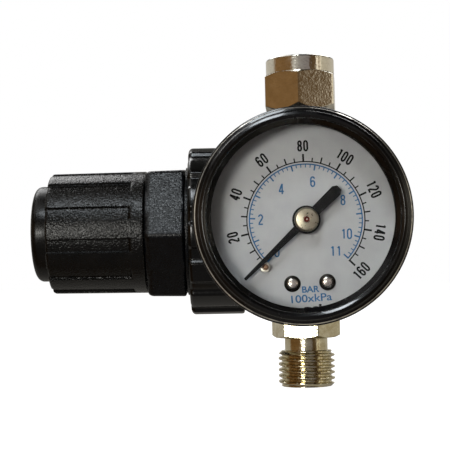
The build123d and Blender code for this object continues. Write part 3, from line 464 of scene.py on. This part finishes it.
# The bezel's black, with its edge band painted pale and metallic as a highlight.
HIGHLIGHT_EDGE_BLACK = gloss_black("black_with_painted_highlight", EDGE_R)
NICKEL = plated("nickel", (0.66, 0.62, 0.53), (0.80, 0.77, 0.69), (0.09, 0.19))
WORN_NICKEL = plated("worn_nickel", (0.58, 0.51, 0.34), (0.78, 0.74, 0.58), (0.1, 0.2))
HUB_METAL = machined("hub_metal", (0.40, 0.35, 0.26), (0.52, 0.46, 0.35), (0.26, 0.36), 0.003)
COLLAR_METAL = machined("collar_metal", (0.72, 0.68, 0.58), (0.84, 0.80, 0.70), (0.25, 0.35), 0.002)
PIN_METAL = machined("pin_metal", (0.22, 0.13, 0.08), (0.36, 0.23, 0.15), (0.3, 0.4), 0.003)
BRASS = machined("brass", (0.60, 0.43, 0.22), (0.78, 0.60, 0.34), (0.2, 0.34))
BRONZE = machined("bronze", (0.50, 0.31, 0.16), (0.66, 0.43, 0.24), (0.2, 0.34))
# Dark metal for the rings about the dial screws: painted shade around their heads.
SCREW_SHADE_DARK = machined("painted_screw_shade", (0.02, 0.018, 0.016), (0.05, 0.045, 0.04), (0.3, 0.45))
STEEL = machined("steel", (0.48, 0.48, 0.48), (0.66, 0.66, 0.65), (0.22, 0.36))
SCREW_METAL = machined("screw_metal", (0.78, 0.70, 0.63), (0.90, 0.82, 0.75), (0.18, 0.26), 0.002)
RUBBER = rubber("rubber")
DIAL_PAINT = dial_paint("dial_paint")
BLACK_INK = ink("black_ink", (0.004, 0.004, 0.005), (0.010, 0.009, 0.009))
BLUE_INK = ink("blue_ink", (0.024, 0.09, 0.19), (0.038, 0.12, 0.25))
DARK_RED = ink("dark_red", (0.05, 0.006, 0.004), (0.10, 0.012, 0.008))
LENS_CLEAR = clear_lens("lens_clear")

SLOT_MATERIALS = {
    "black_plastic": KNOB_BLACK,
    "die_cast": CAST_BLACK,
    "nickel": NICKEL,
    "brass": BRASS,
    "bronze": BRONZE,
    "steel": STEEL,
    "rubber": RUBBER,
    "gauge_black": GAUGE_BLACK,
    "lens_clear": LENS_CLEAR,
    "dial_print": DIAL_PAINT,
    "pointer_black": BLACK_INK,
}


def cover(node, material):
    """Give a CAD node one material all over."""
    for material_slot in nodes[node].material_slots:
        material_slot.material = material


for entry in frame["record"]["subparts"]:
    cover(entry["node"], SLOT_MATERIALS[entry["material_slot"]])
cover("zero_stop_pin", PIN_METAL)
cover("dial_screws", SCREW_METAL)

# ---------------------------------------------------------------- knob and its cap

KNOB_LEFT, KNOB_RIGHT = span("knob", 0)
KNOB_R = radius_of("knob")
CAP_LEFT = span("knob_cap", 0)[0]
KNOB_COLLAR = KNOB_RIGHT - 3.0
GROOVES, GROOVE_PHASE, GROOVE_DEPTH = 12, math.radians(14.4), 0.55


def make_knob():
    """A fluted knob, hollow on the right, with a hub for the screw and a recess for its cap on the left."""
    bore, hub, socket, recess = 11.9, 7.0, 3.7, 9.0
    recess_floor, web = KNOB_LEFT + 2.5, KNOB_LEFT + 3.5
    hub_end = KNOB_LEFT + 8.5
    outline = rounded(
        [
            (KNOB_LEFT, recess, 0.1),
            (KNOB_LEFT, KNOB_R - 0.2, 0.7),
            (KNOB_RIGHT, KNOB_R, 0.25),
            (KNOB_RIGHT, bore, 0.15),
            (web, bore, 0.4),
            (web, hub, 0.4),
            (hub_end, hub, 0.2),
            (hub_end, socket, 0.1),
            (web, socket, 0),
            (web, 0, 0),
            (recess_floor, 0, 0),
            (recess_floor, recess, 0.1),
        ]
    )

    def fluted(along, radius, angle):
        # The grooves are only in the outer wall.
        outside = radius > bore + 0.8
        groove = bump_between(angle, GROOVES, GROOVE_PHASE, math.radians(6.2), math.radians(0.9))
        # Each flute opens at the left rim and ends square at the collar.
        ends = 1 - ramp(along, KNOB_COLLAR - 0.25, KNOB_COLLAR + 0.1)
        return radius - outside * GROOVE_DEPTH * groove * ends

    return turned("knob_moulding", place_x, divided(outline, 0.4), KNOB_BLACK, 720, fluted, 24)


def make_cap():
    """The cap in the end of the knob, with a soft rim."""
    radius, inset = radius_of("knob_cap"), 8.95
    right = span("knob_cap", 0)[1]
    outline = rounded(
        [
            (CAP_LEFT, 0, 0),
            (CAP_LEFT, radius, 1.5),
            (KNOB_LEFT, radius, 0.1),
            (KNOB_LEFT, inset, 0),
            (right, inset, 0.1),
            (right, 0, 0),
        ],
        8,
    )
    return turned("end_cap", place_x, divided(outline, 1.5), CAP_BLACK, 160)


stands_for(make_knob(), "knob")
stands_for(make_cap(), "knob_cap")

# ---------------------------------------------------------------- bonnet and clamp ring

BONNET_LEFT, BONNET_RIGHT = span("bonnet", 0)
HEX_LEFT, HEX_RIGHT, BONNET_FLAT = KNOB_RIGHT + 0.2, -27.5, 14.35  # the last is half across its flats
RING_LEFT, RING_RIGHT = span("clamp_ring", 0)
RING_R = radius_of("clamp_ring")
HEX_PHASE = math.radians(5.7)
RIBS, RIB_PHASE, RIB_DEPTH = 14, math.radians(5.5), 0.85


def quarter_round(distance, length, depth):
    """How much an oval rounding takes off at a distance from an end: depth at the end, 0 past length."""
    return depth * (1 - np.sqrt(1 - (1 - np.clip(distance / length, 0, 1)) ** 2))


def make_bonnet():
    """The spring bonnet: a neck that the knob covers, a moulded hexagon, and a flange held by the ring."""
    screw_hole, neck, collar, flange = 4.1, 11.4, 15.0, radius_of("bonnet", 1)
    spring_bore, rim_bore, relief = 9.0, 12.6, 13.0
    wall, rim_floor, flange_left = BONNET_LEFT + 3.0, BONNET_RIGHT - 4.7, RING_LEFT + 1.6
    outline = rounded(
        [
            (BONNET_LEFT, screw_hole, 0),
            (BONNET_LEFT, neck, 0.5),
            (HEX_LEFT, neck, 0.1),
            (HEX_LEFT, BONNET_FLAT, 0.45),
            (HEX_RIGHT, BONNET_FLAT, 0.3),
            (HEX_RIGHT, relief, 0.1),
            (HEX_RIGHT + 0.15, relief, 0),
            (HEX_RIGHT + 0.15, collar, 0.1),
            (flange_left, collar, 0),
            (flange_left, flange, 0.2),
            (BONNET_RIGHT, flange, 0.2),
            (BONNET_RIGHT, rim_bore, 0.2),
            (rim_floor, rim_bore, 0.2),
            (rim_floor, spring_bore, 0.2),
            (wall, spring_bore, 0.2),
            (wall, screw_hole, 0),
        ]
    )

    def six_sided(along, radius, angle):
        in_hex = (along < HEX_RIGHT + 0.01) & (radius > BONNET_FLAT - 0.6)
        draft = np.clip(along - HEX_LEFT, 0, HEX_RIGHT - HEX_LEFT) * math.tan(math.radians(1.2))
        six = hexagon_radius(angle, BONNET_FLAT, HEX_PHASE, 1.3) - BONNET_FLAT
        # The corners are rounded off towards both ends, more at the left one.
        loss = quarter_round(along - HEX_LEFT, 1.5, 1.1) + quarter_round(HEX_RIGHT - along, 0.6, 0.5)
        corner = np.maximum(six - loss, 0) * ramp(radius, BONNET_FLAT - 0.45, BONNET_FLAT - 0.05)
        return radius + in_hex * (corner + draft)

    return turned("bonnet_moulding", place_x, divided(outline, 0.25), BONNET_BLACK, 720, six_sided, 24)


def make_ring():
    """The ribbed ring that clamps the bonnet to the body."""
    lip, inside, lip_right = 15.2, 17.2, RING_LEFT + 1.55
    outline = rounded(
        [
            (RING_LEFT, lip, 0.2),
            (RING_LEFT, RING_R, 1.0),
            (RING_RIGHT, RING_R, 0.6),
            (RING_RIGHT, inside, 0.15),
            (lip_right, inside, 0),
            (lip_right, lip, 0),
        ],
        7,
    )

    def ribbed(along, radius, angle):
        outside = ramp(radius, inside + 0.1, 18.9)
        groove = bump_between(angle, RIBS, RIB_PHASE + TAU / (2 * RIBS), math.radians(4.8), math.radians(3.6))
        return radius - outside * RIB_DEPTH * groove

    return turned("clamp_ring_moulding", place_x, divided(outline, 0.35), RING_BLACK, 720, ribbed, 28)


stands_for(make_bonnet(), "bonnet")
stands_for(make_ring(), "clamp_ring")

# ---------------------------------------------------------------- threads and fittings

PITCH, THREAD_DEPTH = 1.337, 0.82
G14_MAJOR, G14_MINOR = 13.157, 11.445
OUTLET_PHASE, NUT_PHASE = math.radians(18), math.radians(-7)  # where a corner of each hexagon points


def thread_wave(along, angle):
    """0 at a thread's root and 1 at its crest, for a right-hand helix about the port axis."""
    turn = ((along / PITCH) + angle / TAU) % 1
    flank = np.abs(turn - 0.5) * 2
    return ramp(flank, 0.14, 0.80)


def hexagon_extra(along, angle, flat, phase, low, top, slopes):
    """How far a hexagon stands out past its flats, with its corners chamfered from both ends."""
    six = hexagon_radius(angle, flat, phase, 0.25) - flat
    cut = np.minimum((along - low) * slopes[0], (top - along) * slopes[1])
    return np.clip(np.minimum(six, cut), 0, None)


def make_outlet():
    """The outlet: a shank in the body, a chamfered hexagon, a neck and a G 1/4 male thread."""
    low, top = span("outlet_fitting", 2)
    washer = span("outlet_washer", 2)[0]
    hex_low, flat = washer - 4.5, 7.0
    thread_top = KNOB_Z - 28.4
    crest, bore, shank, neck, chamfer, countersink = G14_MAJOR / 2, 3.0, 6.55, 5.0, 0.8, 1.73
    outline = rounded(
        [
            (top, bore, 0.1),
            (top, shank, 0.5),
            (washer, shank, 0),
            (washer, flat, 0),
            (hex_low, flat, 0),
            (hex_low, neck, 0.25),
            (thread_top, neck, 0.2),
            (thread_top, neck + chamfer, 0),
            (thread_top - 0.75, crest, 0),
            (low + chamfer, crest, 0),
            (low, crest - chamfer, 0.1),
            (low, bore + 1, 0.15),
            (low + countersink, bore, 0.1),
        ]
    )

    def cut(along, radius, angle):
        in_hex = (radius > flat - 0.01) & (along <= washer + 1e-6) & (along >= hex_low - 1e-6)
        corners = hexagon_extra(along, angle, flat, OUTLET_PHASE, hex_low, washer, (1.9, 2.5))
        in_thread = (radius > neck + 0.75) & (along < thread_top + 1e-6) & (along > low - 1e-6)
        root = crest - THREAD_DEPTH * (1 - thread_wave(along, angle))
        return np.where(in_thread, np.minimum(radius, root), radius) + in_hex * corners

    return turned("outlet_fitting_turned", place_z, divided(outline, 0.07), WORN_NICKEL, 216, cut, 26)


def make_nut():
    """The swivel nut: a hexagon below a round band, with a G 1/4 female thread inside."""
    low, top = span("inlet_nut", 2)
    flat, band_low = 8.0, top - 3.6
    minor, lip, relief = G14_MINOR / 2, 4.7, 6.0
    lip_top, relief_top = low + 1.4, low + 3.6
    outline = rounded(
        [
            (low, lip, 0.1),
            (low, flat - 0.25, 0),
            (low + 0.15, flat, 0),
            (band_low, flat, 0),
            (band_low + 0.03, flat + 0.05, 0),
            (top, flat + 0.05, 0.35),
            (top, minor + 0.9, 0),
            (top - 0.7, minor + 0.2, 0),
            (top - 0.7, minor, 0),
            (relief_top, minor, 0),
            (relief_top, relief, 0),
            (lip_top, relief, 0),
            (lip_top, lip, 0.1),
        ]
    )

    def cut(along, radius, angle):
        in_hex = (radius > flat - 0.01) & (along > low + 0.1) & (along < band_low + 1e-6)
        corners = hexagon_extra(along, angle, flat, NUT_PHASE, low, band_low, (1.2, 1.73))
        inside = (radius < minor + 0.1) & (along > relief_top + 0.05) & (along < top - 0.65)
        mouth = minor + THREAD_DEPTH * (1 - thread_wave(along, angle))
        return np.where(inside, mouth, radius) + in_hex * corners

    return turned("inlet_nut_turned", place_z, divided(outline, 0.08), NICKEL, 216, cut, 26)


stands_for(make_outlet(), "outlet_fitting")
stands_for(make_nut(), "inlet_nut")

# ---------------------------------------------------------------- gauge case, bezel and lens

CASE_FRONT, CASE_BACK = span("gauge_case", 1)
BEZEL_FRONT, BEZEL_BACK = span("gauge_bezel", 1)
BEZEL_R = radius_of("gauge_bezel")
LENS_FRONT, LENS_BACK = span("gauge_lens", 1)
DIAL_FRONT = span("gauge_dial", 1)[0]


def make_bezel():
    """The bezel, rolled over the case, with a thin edge step that carries a painted highlight band, and steps
    down to the glass.
    """
    over_case, window = 19.85, 17.5
    outline = rounded(
        [
            (BEZEL_BACK, over_case, 0.1),
            (BEZEL_BACK, BEZEL_R, 0.45),
            (BEZEL_FRONT + 1.6, BEZEL_R, 0.25),
            (BEZEL_FRONT + 1.5, EDGE_R + 0.1, 0.04),
            (BEZEL_FRONT + 1.23, EDGE_R - 0.1, 0.04),
            (BEZEL_FRONT + 1.05, 20.05, 0.12),
            (BEZEL_FRONT + 0.25, 19.75, 0.25),
            (BEZEL_FRONT, 19.1, 0.2),
            (BEZEL_FRONT + 0.3, 18.55, 0.18),
            (BEZEL_FRONT + 0.65, 18.4, 0.15),
            (BEZEL_FRONT + 1.4, 17.7, 0.12),
            (BEZEL_FRONT + 1.65, window, 0.08),
            (LENS_FRONT - 0.05, window, 0.05),
            (LENS_FRONT - 0.05, over_case, 0),
        ],
        6,
    )
    return turned("bezel_ring", place_case, divided(outline, 1.0), HIGHLIGHT_EDGE_BLACK, 288, None, 40)


def make_case():
    """The gauge case, a shallow cup with a round back edge."""
    radius, wall, socket_hole = radius_of("gauge_case"), 0.8, 4.5
    outline = rounded(
        [
            (CASE_BACK, socket_hole, 0.1),
            (CASE_BACK, radius, 1.9),
            (CASE_FRONT, radius, 0.1),
            (CASE_FRONT, radius - wall, 0.1),
            (CASE_BACK - wall, radius - wall, 1.1),
            (CASE_BACK - wall, socket_hole, 0.1),
        ],
        8,
    )
    return turned("case_shell", place_case, divided(outline, 1.5), GAUGE_BLACK, 256, None, 40)


def make_lens():
    """The flat glass."""
    outline = disc(LENS_FRONT, LENS_BACK, radius_of("gauge_lens"), 0.15)
    return turned("lens_disc", place_case, outline, LENS_CLEAR, 192, None, 40)


stands_for(make_bezel(), "gauge_bezel")
stands_for(make_case(), "gauge_case")
stands_for(make_lens(), "gauge_lens")

# ---------------------------------------------------------------- dial print

ZERO = -136.2  # degrees clockwise from the top
DEGREES_PER_BAR = 24.48
BAR_PER_PSI = 0.0689476
PRINT_T, PRINT_LIFT = 0.03, 0.005  # the print's front and back, from the dial
ARC_OUTER, ARC_INNER = 11.36, 10.85
# The (length, width) of the ticks at each multiple of 20, 10 and 5 psi, and at each 1 and 0.2 bar.
PSI_TICKS = {20: (1.6, 0.36), 10: (1.3, 0.28), 5: (0.9, 0.24)}
BAR_TICK, FIFTH_TICK = (1.1, 0.28), (0.65, 0.18)
# The bar numbers stand upright inside the scale, each at its (right, up) place.
BAR_NUMBERS = {
    0: (-5.75, -6.05),
    2: (-8.8, 0.3),
    4: (-4.65, 6.2),
    6: (1.5, 7.5),
    8: (7.3, 3.8),
    10: (7.8, -2.8),
    11: (5.6, -6.1),
}


def oval(x, y, across, up, start, end):
    """Points along an oval, at angles in degrees anticlockwise from its right."""
    angles = np.radians(np.linspace(start, end, 17))
    return [(x + across * math.cos(a), y + up * math.sin(a)) for a in angles]


# Each digit's strokes, in a cell that is 1 wide and 1 high.
DIGITS = {
    "0": [oval(0.5, 0.74, 0.5, 0.26, 0, 180) + oval(0.5, 0.26, 0.5, 0.26, 180, 360) + [(1.0, 0.74)]],
    "1": [[(0.3, 0.82), (0.7, 0.98)], [(0.7, 1.0), (0.7, 0.0)]],
    "2": [oval(0.5, 0.75, 0.5, 0.25, 170, -35) + [(0.05, 0.08)], [(-0.1, 0.0), (1.1, 0.0)]],
    "4": [[(0.75, -0.05), (0.75, 1.05)], [(0.68, 1.0), (0.0, 0.27)], [(-0.15, 0.24), (1.2, 0.24)]],
    "6": [
        oval(0.5, 0.75, 0.5, 0.25, 15, 180)
        + oval(0.5, 0.26, 0.5, 0.26, 180, 360)
        + oval(0.5, 0.36, 0.5, 0.22, 0, 180),
    ],
    "8": [oval(0.5, 0.77, 0.45, 0.23, -90, 270), oval(0.5, 0.27, 0.5, 0.27, -90, 270)],
}
DIGIT_GAP = 0.2


class Print:
    """Flat marks on the dial, gathered into one thin mesh."""

    def __init__(self):
        self.vertices = []
        self.faces = []

    def strip(self, left, right):
        """A raised strip between two rows of (right, up) dial points."""
        start = len(self.vertices)
        count = len(left)
        for level in (DIAL_FRONT - PRINT_LIFT, DIAL_FRONT - PRINT_T):
            for u, v in list(left) + list(right):
                self.vertices.append((DIAL_X + u, level, DIAL_Z + v))
        size = 2 * count
        for k in range(count - 1):
            quad = (k, k + 1, count + k + 1, count + k)
            self.faces.append(tuple(start + size + i for i in quad))
            self.faces.append(tuple(start + i for i in reversed(quad)))
            self.faces.append(tuple(start + i for i in (k, k + 1, size + k + 1, size + k)))
            self.faces.append(tuple(start + count + i for i in (k + 1, k, size + k, size + k + 1)))
        for k in (0, count - 1):
            self.faces.append(tuple(start + i for i in (k, count + k, size + count + k, size + k)))

    def arc(self, radius, width, start, end):
        angles = np.radians(np.linspace(start, end, 181))
        rows = [[(r * math.sin(a), r * math.cos(a)) for a in angles] for r in (radius, radius + width)]
        self.strip(*rows)

    def tick(self, angle, inner, outer, width):
        a = math.radians(angle)
        out, side = (math.sin(a), math.cos(a)), (math.cos(a), -math.sin(a))
        rows = []
        for half in (-width / 2, width / 2):
            rows.append([(r * out[0] + half * side[0], r * out[1] + half * side[1]) for r in (inner, outer)])
        self.strip(*rows)

    def stroke(self, points, width, place):
        """A brush stroke along (x, y) points, where place turns such points into dial points."""
        line = np.array(points)
        along = np.gradient(line, axis=0)
        side = np.stack([along[:, 1], -along[:, 0]], axis=1) / np.linalg.norm(along, axis=1)[:, None]
        self.strip(*[[place(x, y) for x, y in line + side * half] for half in (-width / 2, width / 2)])

    def number(self, words, height, across, weight, place, turn=0.0):
        """Upright digits whose middle is at a (right, up) place, turned clockwise by turn degrees."""
        a = math.radians(turn)
        cell, rise = across - weight, height - weight
        first = -(len(words) - 1) / 2 * (across + DIGIT_GAP) - cell / 2

        def on_plate(x, y):
            y -= rise / 2
            return place[0] + x * math.cos(a) + y * math.sin(a), place[1] - x * math.sin(a) + y * math.cos(a)

        for index, digit in enumerate(words):
            left = first + index * (across + DIGIT_GAP)
            for line in DIGITS[digit]:
                self.stroke([(left + x * cell, y * rise) for x, y in line], weight, on_plate)

    def text(self, words, height, place, squeeze, weight, turn):
        """Letters whose middle is at a (right, up) place, turned anticlockwise by some degrees."""
        curve = bpy.data.curves.new("letters", "FONT")
        curve.body = words
        curve.size = 1.0
        curve.bevel_depth = weight
        curve.bevel_resolution = 0
        curve.extrude = 0.012
        holder = bpy.data.objects.new("letters", curve)
        bpy.context.scene.collection.objects.link(holder)
        bpy.context.view_layer.update()
        mesh = bpy.data.meshes.new_from_object(holder.evaluated_get(bpy.context.evaluated_depsgraph_get()))
        points = np.array([v.co[:] for v in mesh.vertices])
        low, high = points.min(axis=0), points.max(axis=0)
        scale = height / (high[1] - low[1])
        c, s = math.cos(math.radians(turn)), math.sin(math.radians(turn))
        middle = DIAL_X + place[0], DIAL_Z + place[1]
        start = len(self.vertices)
        for x, y, z in points:
            u = (x - (low[0] + high[0]) / 2) * scale * squeeze
            v = (y - (low[1] + high[1]) / 2) * scale
            level = DIAL_FRONT - (PRINT_T if z > 0 else PRINT_LIFT)
            self.vertices.append((middle[0] + u * c - v * s, level, middle[1] + u * s + v * c))
        for polygon in mesh.polygons:
            self.faces.append(tuple(start + i for i in polygon.vertices))
        bpy.data.objects.remove(holder)
        bpy.data.curves.remove(curve)
        bpy.data.meshes.remove(mesh)

    def piece(self, name, material):
        result = mesh_object(name, self.vertices, self.faces, material, 20)
        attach(result, body_of("gauge_dial"))
        return result


def on_dial(radius, angle):
    """The (right, up) place at a radius and an angle clockwise from the top."""
    return radius * math.sin(math.radians(angle)), radius * math.cos(math.radians(angle))


def psi_angle(psi):
    """Degrees clockwise from the top of the dial."""
    return ZERO + psi * BAR_PER_PSI * DEGREES_PER_BAR


def bar_angle(bar):
    return ZERO + bar * DEGREES_PER_BAR


def print_dial():
    """The two scales with their ticks, numbers and units, as a black piece and a blue one."""
    black, blue = Print(), Print()
    end = psi_angle(160)
    black.arc(ARC_OUTER, 0.22, ZERO, end)
    blue.arc(ARC_INNER, 0.24, ZERO, end)
    for psi in range(0, 161, 5):
        length, width = next(size for step, size in PSI_TICKS.items() if psi % step == 0)
        black.tick(psi_angle(psi), ARC_OUTER, ARC_OUTER + length, width)
    for step in range(0, 56):
        length, width = BAR_TICK if step % 5 == 0 else FIFTH_TICK
        outer = ARC_INNER + 0.1
        if bar_angle(step * 0.2) <= end + 0.1:
            blue.tick(bar_angle(step * 0.2), outer - length, outer, width)
    for psi in range(20, 161, 20):
        angle = psi_angle(psi)
        flip = 180 if abs(angle) > 120 else 0
        black.number(str(psi), 2.25, 0.98, 0.36, on_dial(14.55, angle), angle + flip)
    for bar, place in BAR_NUMBERS.items():
        blue.number(str(bar), 2.1, 1.0, 0.28, place)
    blue.text("BAR", 1.25, (0.62, -13.4), 1.08, 0.025, 2.0)
    blue.text("100xkPa", 1.5, (0.75, -15.1), 1.18, 0.012, 3.5)
    black.text("psi", 2.0, (1.05, -17.35), 1.5, 0.045, 3.0)
    black.piece("dial_black_print", BLACK_INK)
    blue.piece("dial_blue_print", BLUE_INK)


print_dial()


def make_dial():
    """The round plate that carries the print."""
    outline = divided(disc(DIAL_FRONT, span("gauge_dial", 1)[1], radius_of("gauge_dial"), 0.1), 4)
    return turned("dial_plate", place_case, outline, DIAL_PAINT, 192, None, 40)


stands_for(make_dial(), "gauge_dial")

# ---------------------------------------------------------------- pointer, hub and dial screws


def make_hub():
    """The boss that presses the pointer on its arbor, with a chamfered rim."""
    low, high = span("pointer_hub", 1)
    outline = rounded(
        [
            (high, 0.44, 0),
            (high, 1.2, 0),
            (low + 1.33, 1.2, 0),
            (low + 1.33, 2.35, 0.12),
            (low + 0.55, 2.35, 0.08),
            (low + 0.12, 2.02, 0.05),
            (low, 0.7, 0.1),
            (low + 0.12, 0.44, 0),
        ],
        6,
    )
    return turned("plated_hub", place_dial, outline, HUB_METAL, 96)


def make_hub_dot():
    """The red-brown sealed end of the arbor, with its bare tip in the middle."""
    low = span("pointer_hub", 1)[0]
    front, back, tip_front = low - 0.3, low + 0.1, low - 0.32
    tip_r, ring_r = 0.16, 0.52
    ring = rounded([(front, tip_r, 0.03), (front, ring_r, 0.15), (back, ring_r, 0), (back, tip_r, 0)])
    tip = rounded([(tip_front, 0, 0), (tip_front, tip_r, 0.05), (back, tip_r, 0), (back, 0, 0)])
    for name, outline, material in (("hub_seal", ring, DARK_RED), ("arbor_tip", tip, COLLAR_METAL)):
        piece = turned(name, place_dial, outline, material, 48)
        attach(piece, body_of("pointer_hub"))


def make_collar(name, place, inner, outer, edge, height, material):
    """A low ring on the dial, about a screw or the stop pin."""
    outline = rounded(
        [
            (DIAL_FRONT - 0.02, inner, 0),
            (DIAL_FRONT - 0.02, outer, 0.05),
            (DIAL_FRONT - edge, outer - 0.02, 0.05),
            (DIAL_FRONT - height, inner, 0.03),
        ]
    )
    piece = turned(name, about_y(*place), outline, material, 64)
    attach(piece, body_of("gauge_dial"))


def make_collars():
    """Dark rings about the two dial screws, which are painted shade around their heads, and a pale collar about
    the stop pin.
    """
    points = np.array([v.co[:] for v in nodes["dial_screws"].data.vertices])[:, (0, 2)] / MM
    on_left = points[:, 0] < points[:, 0].mean()
    for side, screw in (("left", points[on_left]), ("right", points[~on_left])):
        middle = (screw.min(axis=0) + screw.max(axis=0)) / 2
        # A dark ring about each screw: painted shade around its head.
        make_collar(f"screw_shade_ring_{side}", middle, 1.02, 1.62, 0.2, 0.64, SCREW_SHADE_DARK)
    pin = centre("zero_stop_pin", 0), centre("zero_stop_pin", 2)
    make_collar("stop_pin_collar", pin, 0.62, 1.0, 0.74, 0.78, COLLAR_METAL)


stands_for(make_hub(), "pointer_hub")
make_hub_dot()
make_collars()

# ---------------------------------------------------------------- floor, camera and light


def make_floor():
    """A pale floor at the object's lowest point.

    It glows for the camera, so that its far edge can't be seen, and mirrors see past it."""
    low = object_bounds()[0][2]
    size = 6.0
    mesh = bpy.data.meshes.new("floor")
    corners = [(-size, -size, low), (size, -size, low), (size, size, low), (-size, size, low)]
    mesh.from_pydata(corners, [], [(0, 1, 2, 3)])
    n = Nodes("floor_white", Metallic=0.0, Roughness=0.9)
    seen = n.add("ShaderNodeLightPath").outputs["Is Camera Ray"]
    n.to("Base Color", n.colours(seen, 0.0, 1.0, (0.30, 0.25, 0.20), (0.3, 0.3, 0.3)))
    n.shader.inputs["Emission Color"].default_value = (1, 1, 1, 1)
    n.to("Emission Strength", n.mapped(seen, 0, 1, 0.0, 0.97))
    n.clear_for("Is Glossy Ray", (1, 1, 1))
    mesh.materials.append(n.material)
    floor = bpy.data.objects.new("floor", mesh)
    bpy.context.scene.collection.objects.link(floor)


# Where the camera stands, in millimetres, and how it is turned, in degrees.
CAMERA_PLACE, CAMERA_TURN, CAMERA_ANGLE = (-15.4, -260.5, 23.5), (93.02, 1.13, 0.745), 23.04


def make_camera():
    """A camera in front of the gauge, a little low and looking slightly up."""
    data = bpy.data.cameras.new("camera")
    data.sensor_width = 36
    data.angle = math.radians(CAMERA_ANGLE)
    camera = bpy.data.objects.new("camera", data)
    camera.location = [v * MM for v in CAMERA_PLACE]
    camera.rotation_euler = [math.radians(v) for v in CAMERA_TURN]
    bpy.context.scene.collection.objects.link(camera)
    bpy.context.scene.camera = camera


LIT = Vector((-0.015, 0, 0.036))  # what the lamps point at


def from_object(azimuth, elevation, distance):
    """A place seen from the object: azimuth 0 is in front and grows to the right."""
    a, e = math.radians(azimuth), math.radians(elevation)
    return LIT + distance * Vector((math.sin(a) * math.cos(e), -math.cos(a) * math.cos(e), math.sin(e)))


def area_light(name, azimuth, elevation, distance, width, height, power, colour=(1, 1, 1)):
    """A lamp of some size in metres and power in watts."""
    data = bpy.data.lights.new(name, "AREA")
    data.shape = "RECTANGLE"
    data.size, data.size_y = width, height
    data.energy = power
    data.color = colour
    lamp = bpy.data.objects.new(name, data)
    lamp.location = from_object(azimuth, elevation, distance)
    lamp.rotation_euler = (LIT - lamp.location).to_track_quat("-Z", "Y").to_euler()
    bpy.context.scene.collection.objects.link(lamp)


# What the room looks like at each azimuth from the front, in degrees: warm and dark beside the camera,
# pale behind the object.
ROOM = [
    (-180, (0.62, 0.59, 0.54)),
    (-104, (0.58, 0.55, 0.49)),
    (-94, (0.24, 0.135, 0.055)),
    (-32, (0.22, 0.12, 0.045)),
    (-27, (0.42, 0.40, 0.37)),
    (4, (0.32, 0.30, 0.30)),
    (28, (0.26, 0.23, 0.23)),
    (33, (0.11, 0.07, 0.035)),
    (53, (0.13, 0.078, 0.035)),
    (56, (1.3, 1.2, 1.0)),
    (60, (1.3, 1.2, 1.0)),
    (63, (0.24, 0.15, 0.07)),
    (66, (0.24, 0.15, 0.07)),
    (68, (1.2, 1.1, 0.9)),
    (72, (1.0, 0.92, 0.75)),
    (76, (0.58, 0.53, 0.42)),
    (180, (0.62, 0.59, 0.54)),
]
# How bright the room is at each height, from 0 straight down through 0.5 at the horizon to 1 straight up.
HEIGHTS = [
    (0.0, 0.55),
    (0.25, 0.5),
    (0.36, 0.3),
    (0.47, 0.72),
    (0.53, 1.0),
    (0.60, 1.0),
    (0.68, 0.2),
    (1.0, 0.1),
]


def ramp_node(tree, stops):
    """A colour ramp through (position, colour) stops."""
    node = tree.nodes.new("ShaderNodeValToRGB")
    elements = node.color_ramp.elements
    elements.remove(elements[0])
    for index, (position, colour) in enumerate(stops):
        element = elements.new(position) if index else elements[0]
        element.position = position
        element.color = (*colour, 1)
    return node


def make_world():
    """Plain white where the camera looks; elsewhere a dim room with pale walls behind the object."""
    world = bpy.data.worlds.new("studio")
    world.use_nodes = True
    bpy.context.scene.world = world
    tree = world.node_tree
    place = tree.nodes.new("ShaderNodeTexCoord")
    turn = tree.nodes.new("ShaderNodeMapping")
    turn.inputs["Rotation"].default_value = (0, 0, math.radians(90))
    gradient = tree.nodes.new("ShaderNodeTexGradient")
    gradient.gradient_type = "RADIAL"
    around = ramp_node(tree, [((azimuth + 180) / 360, colour) for azimuth, colour in ROOM])
    split = tree.nodes.new("ShaderNodeSeparateXYZ")
    level = tree.nodes.new("ShaderNodeMapRange")
    level.inputs["From Min"].default_value = -1
    upward = ramp_node(tree, [(height, (grey, grey, grey)) for height, grey in HEIGHTS])
    room = tree.nodes.new("ShaderNodeMix")
    room.data_type, room.blend_type = "RGBA", "MULTIPLY"
    room.inputs["Factor"].default_value = 1.0
    seen = tree.nodes.new("ShaderNodeLightPath")
    mix = tree.nodes.new("ShaderNodeMix")
    mix.data_type = "RGBA"
    mix.inputs["B"].default_value = (1, 1, 1, 1)
    background = tree.nodes["Background"]
    links = (
        (place.outputs["Generated"], turn.inputs["Vector"]),
        (turn.outputs["Vector"], gradient.inputs["Vector"]),
        (gradient.outputs["Fac"], around.inputs["Fac"]),
        (place.outputs["Generated"], split.inputs["Vector"]),
        (split.outputs["Z"], level.inputs["Value"]),
        (level.outputs["Result"], upward.inputs["Fac"]),
        (around.outputs["Color"], room.inputs["A"]),
        (upward.outputs["Color"], room.inputs["B"]),
        (room.outputs["Result"], mix.inputs["A"]),
        (seen.outputs["Is Camera Ray"], mix.inputs["Factor"]),
        (mix.outputs["Result"], background.inputs["Color"]),
    )
    for source, target in links:
        tree.links.new(source, target)


make_floor()
make_camera()
make_world()
area_light("key", -14, 47, 0.5, 0.12, 0.09, 0.65, (0.88, 0.95, 1.0))
area_light("card", -19, 1, 0.5, 0.12, 0.09, 0.75, (1.0, 0.99, 0.93))
for name, azimuth in (("back_left", -145), ("back_right", 145)):
    area_light(name, azimuth, 48, 0.6, 0.3, 0.3, 1.3)
area_light("window", -60, 52, 0.6, 0.4, 0.4, 0.6, (1.0, 0.985, 0.96))
bpy.context.scene.view_settings.view_transform = "Standard"
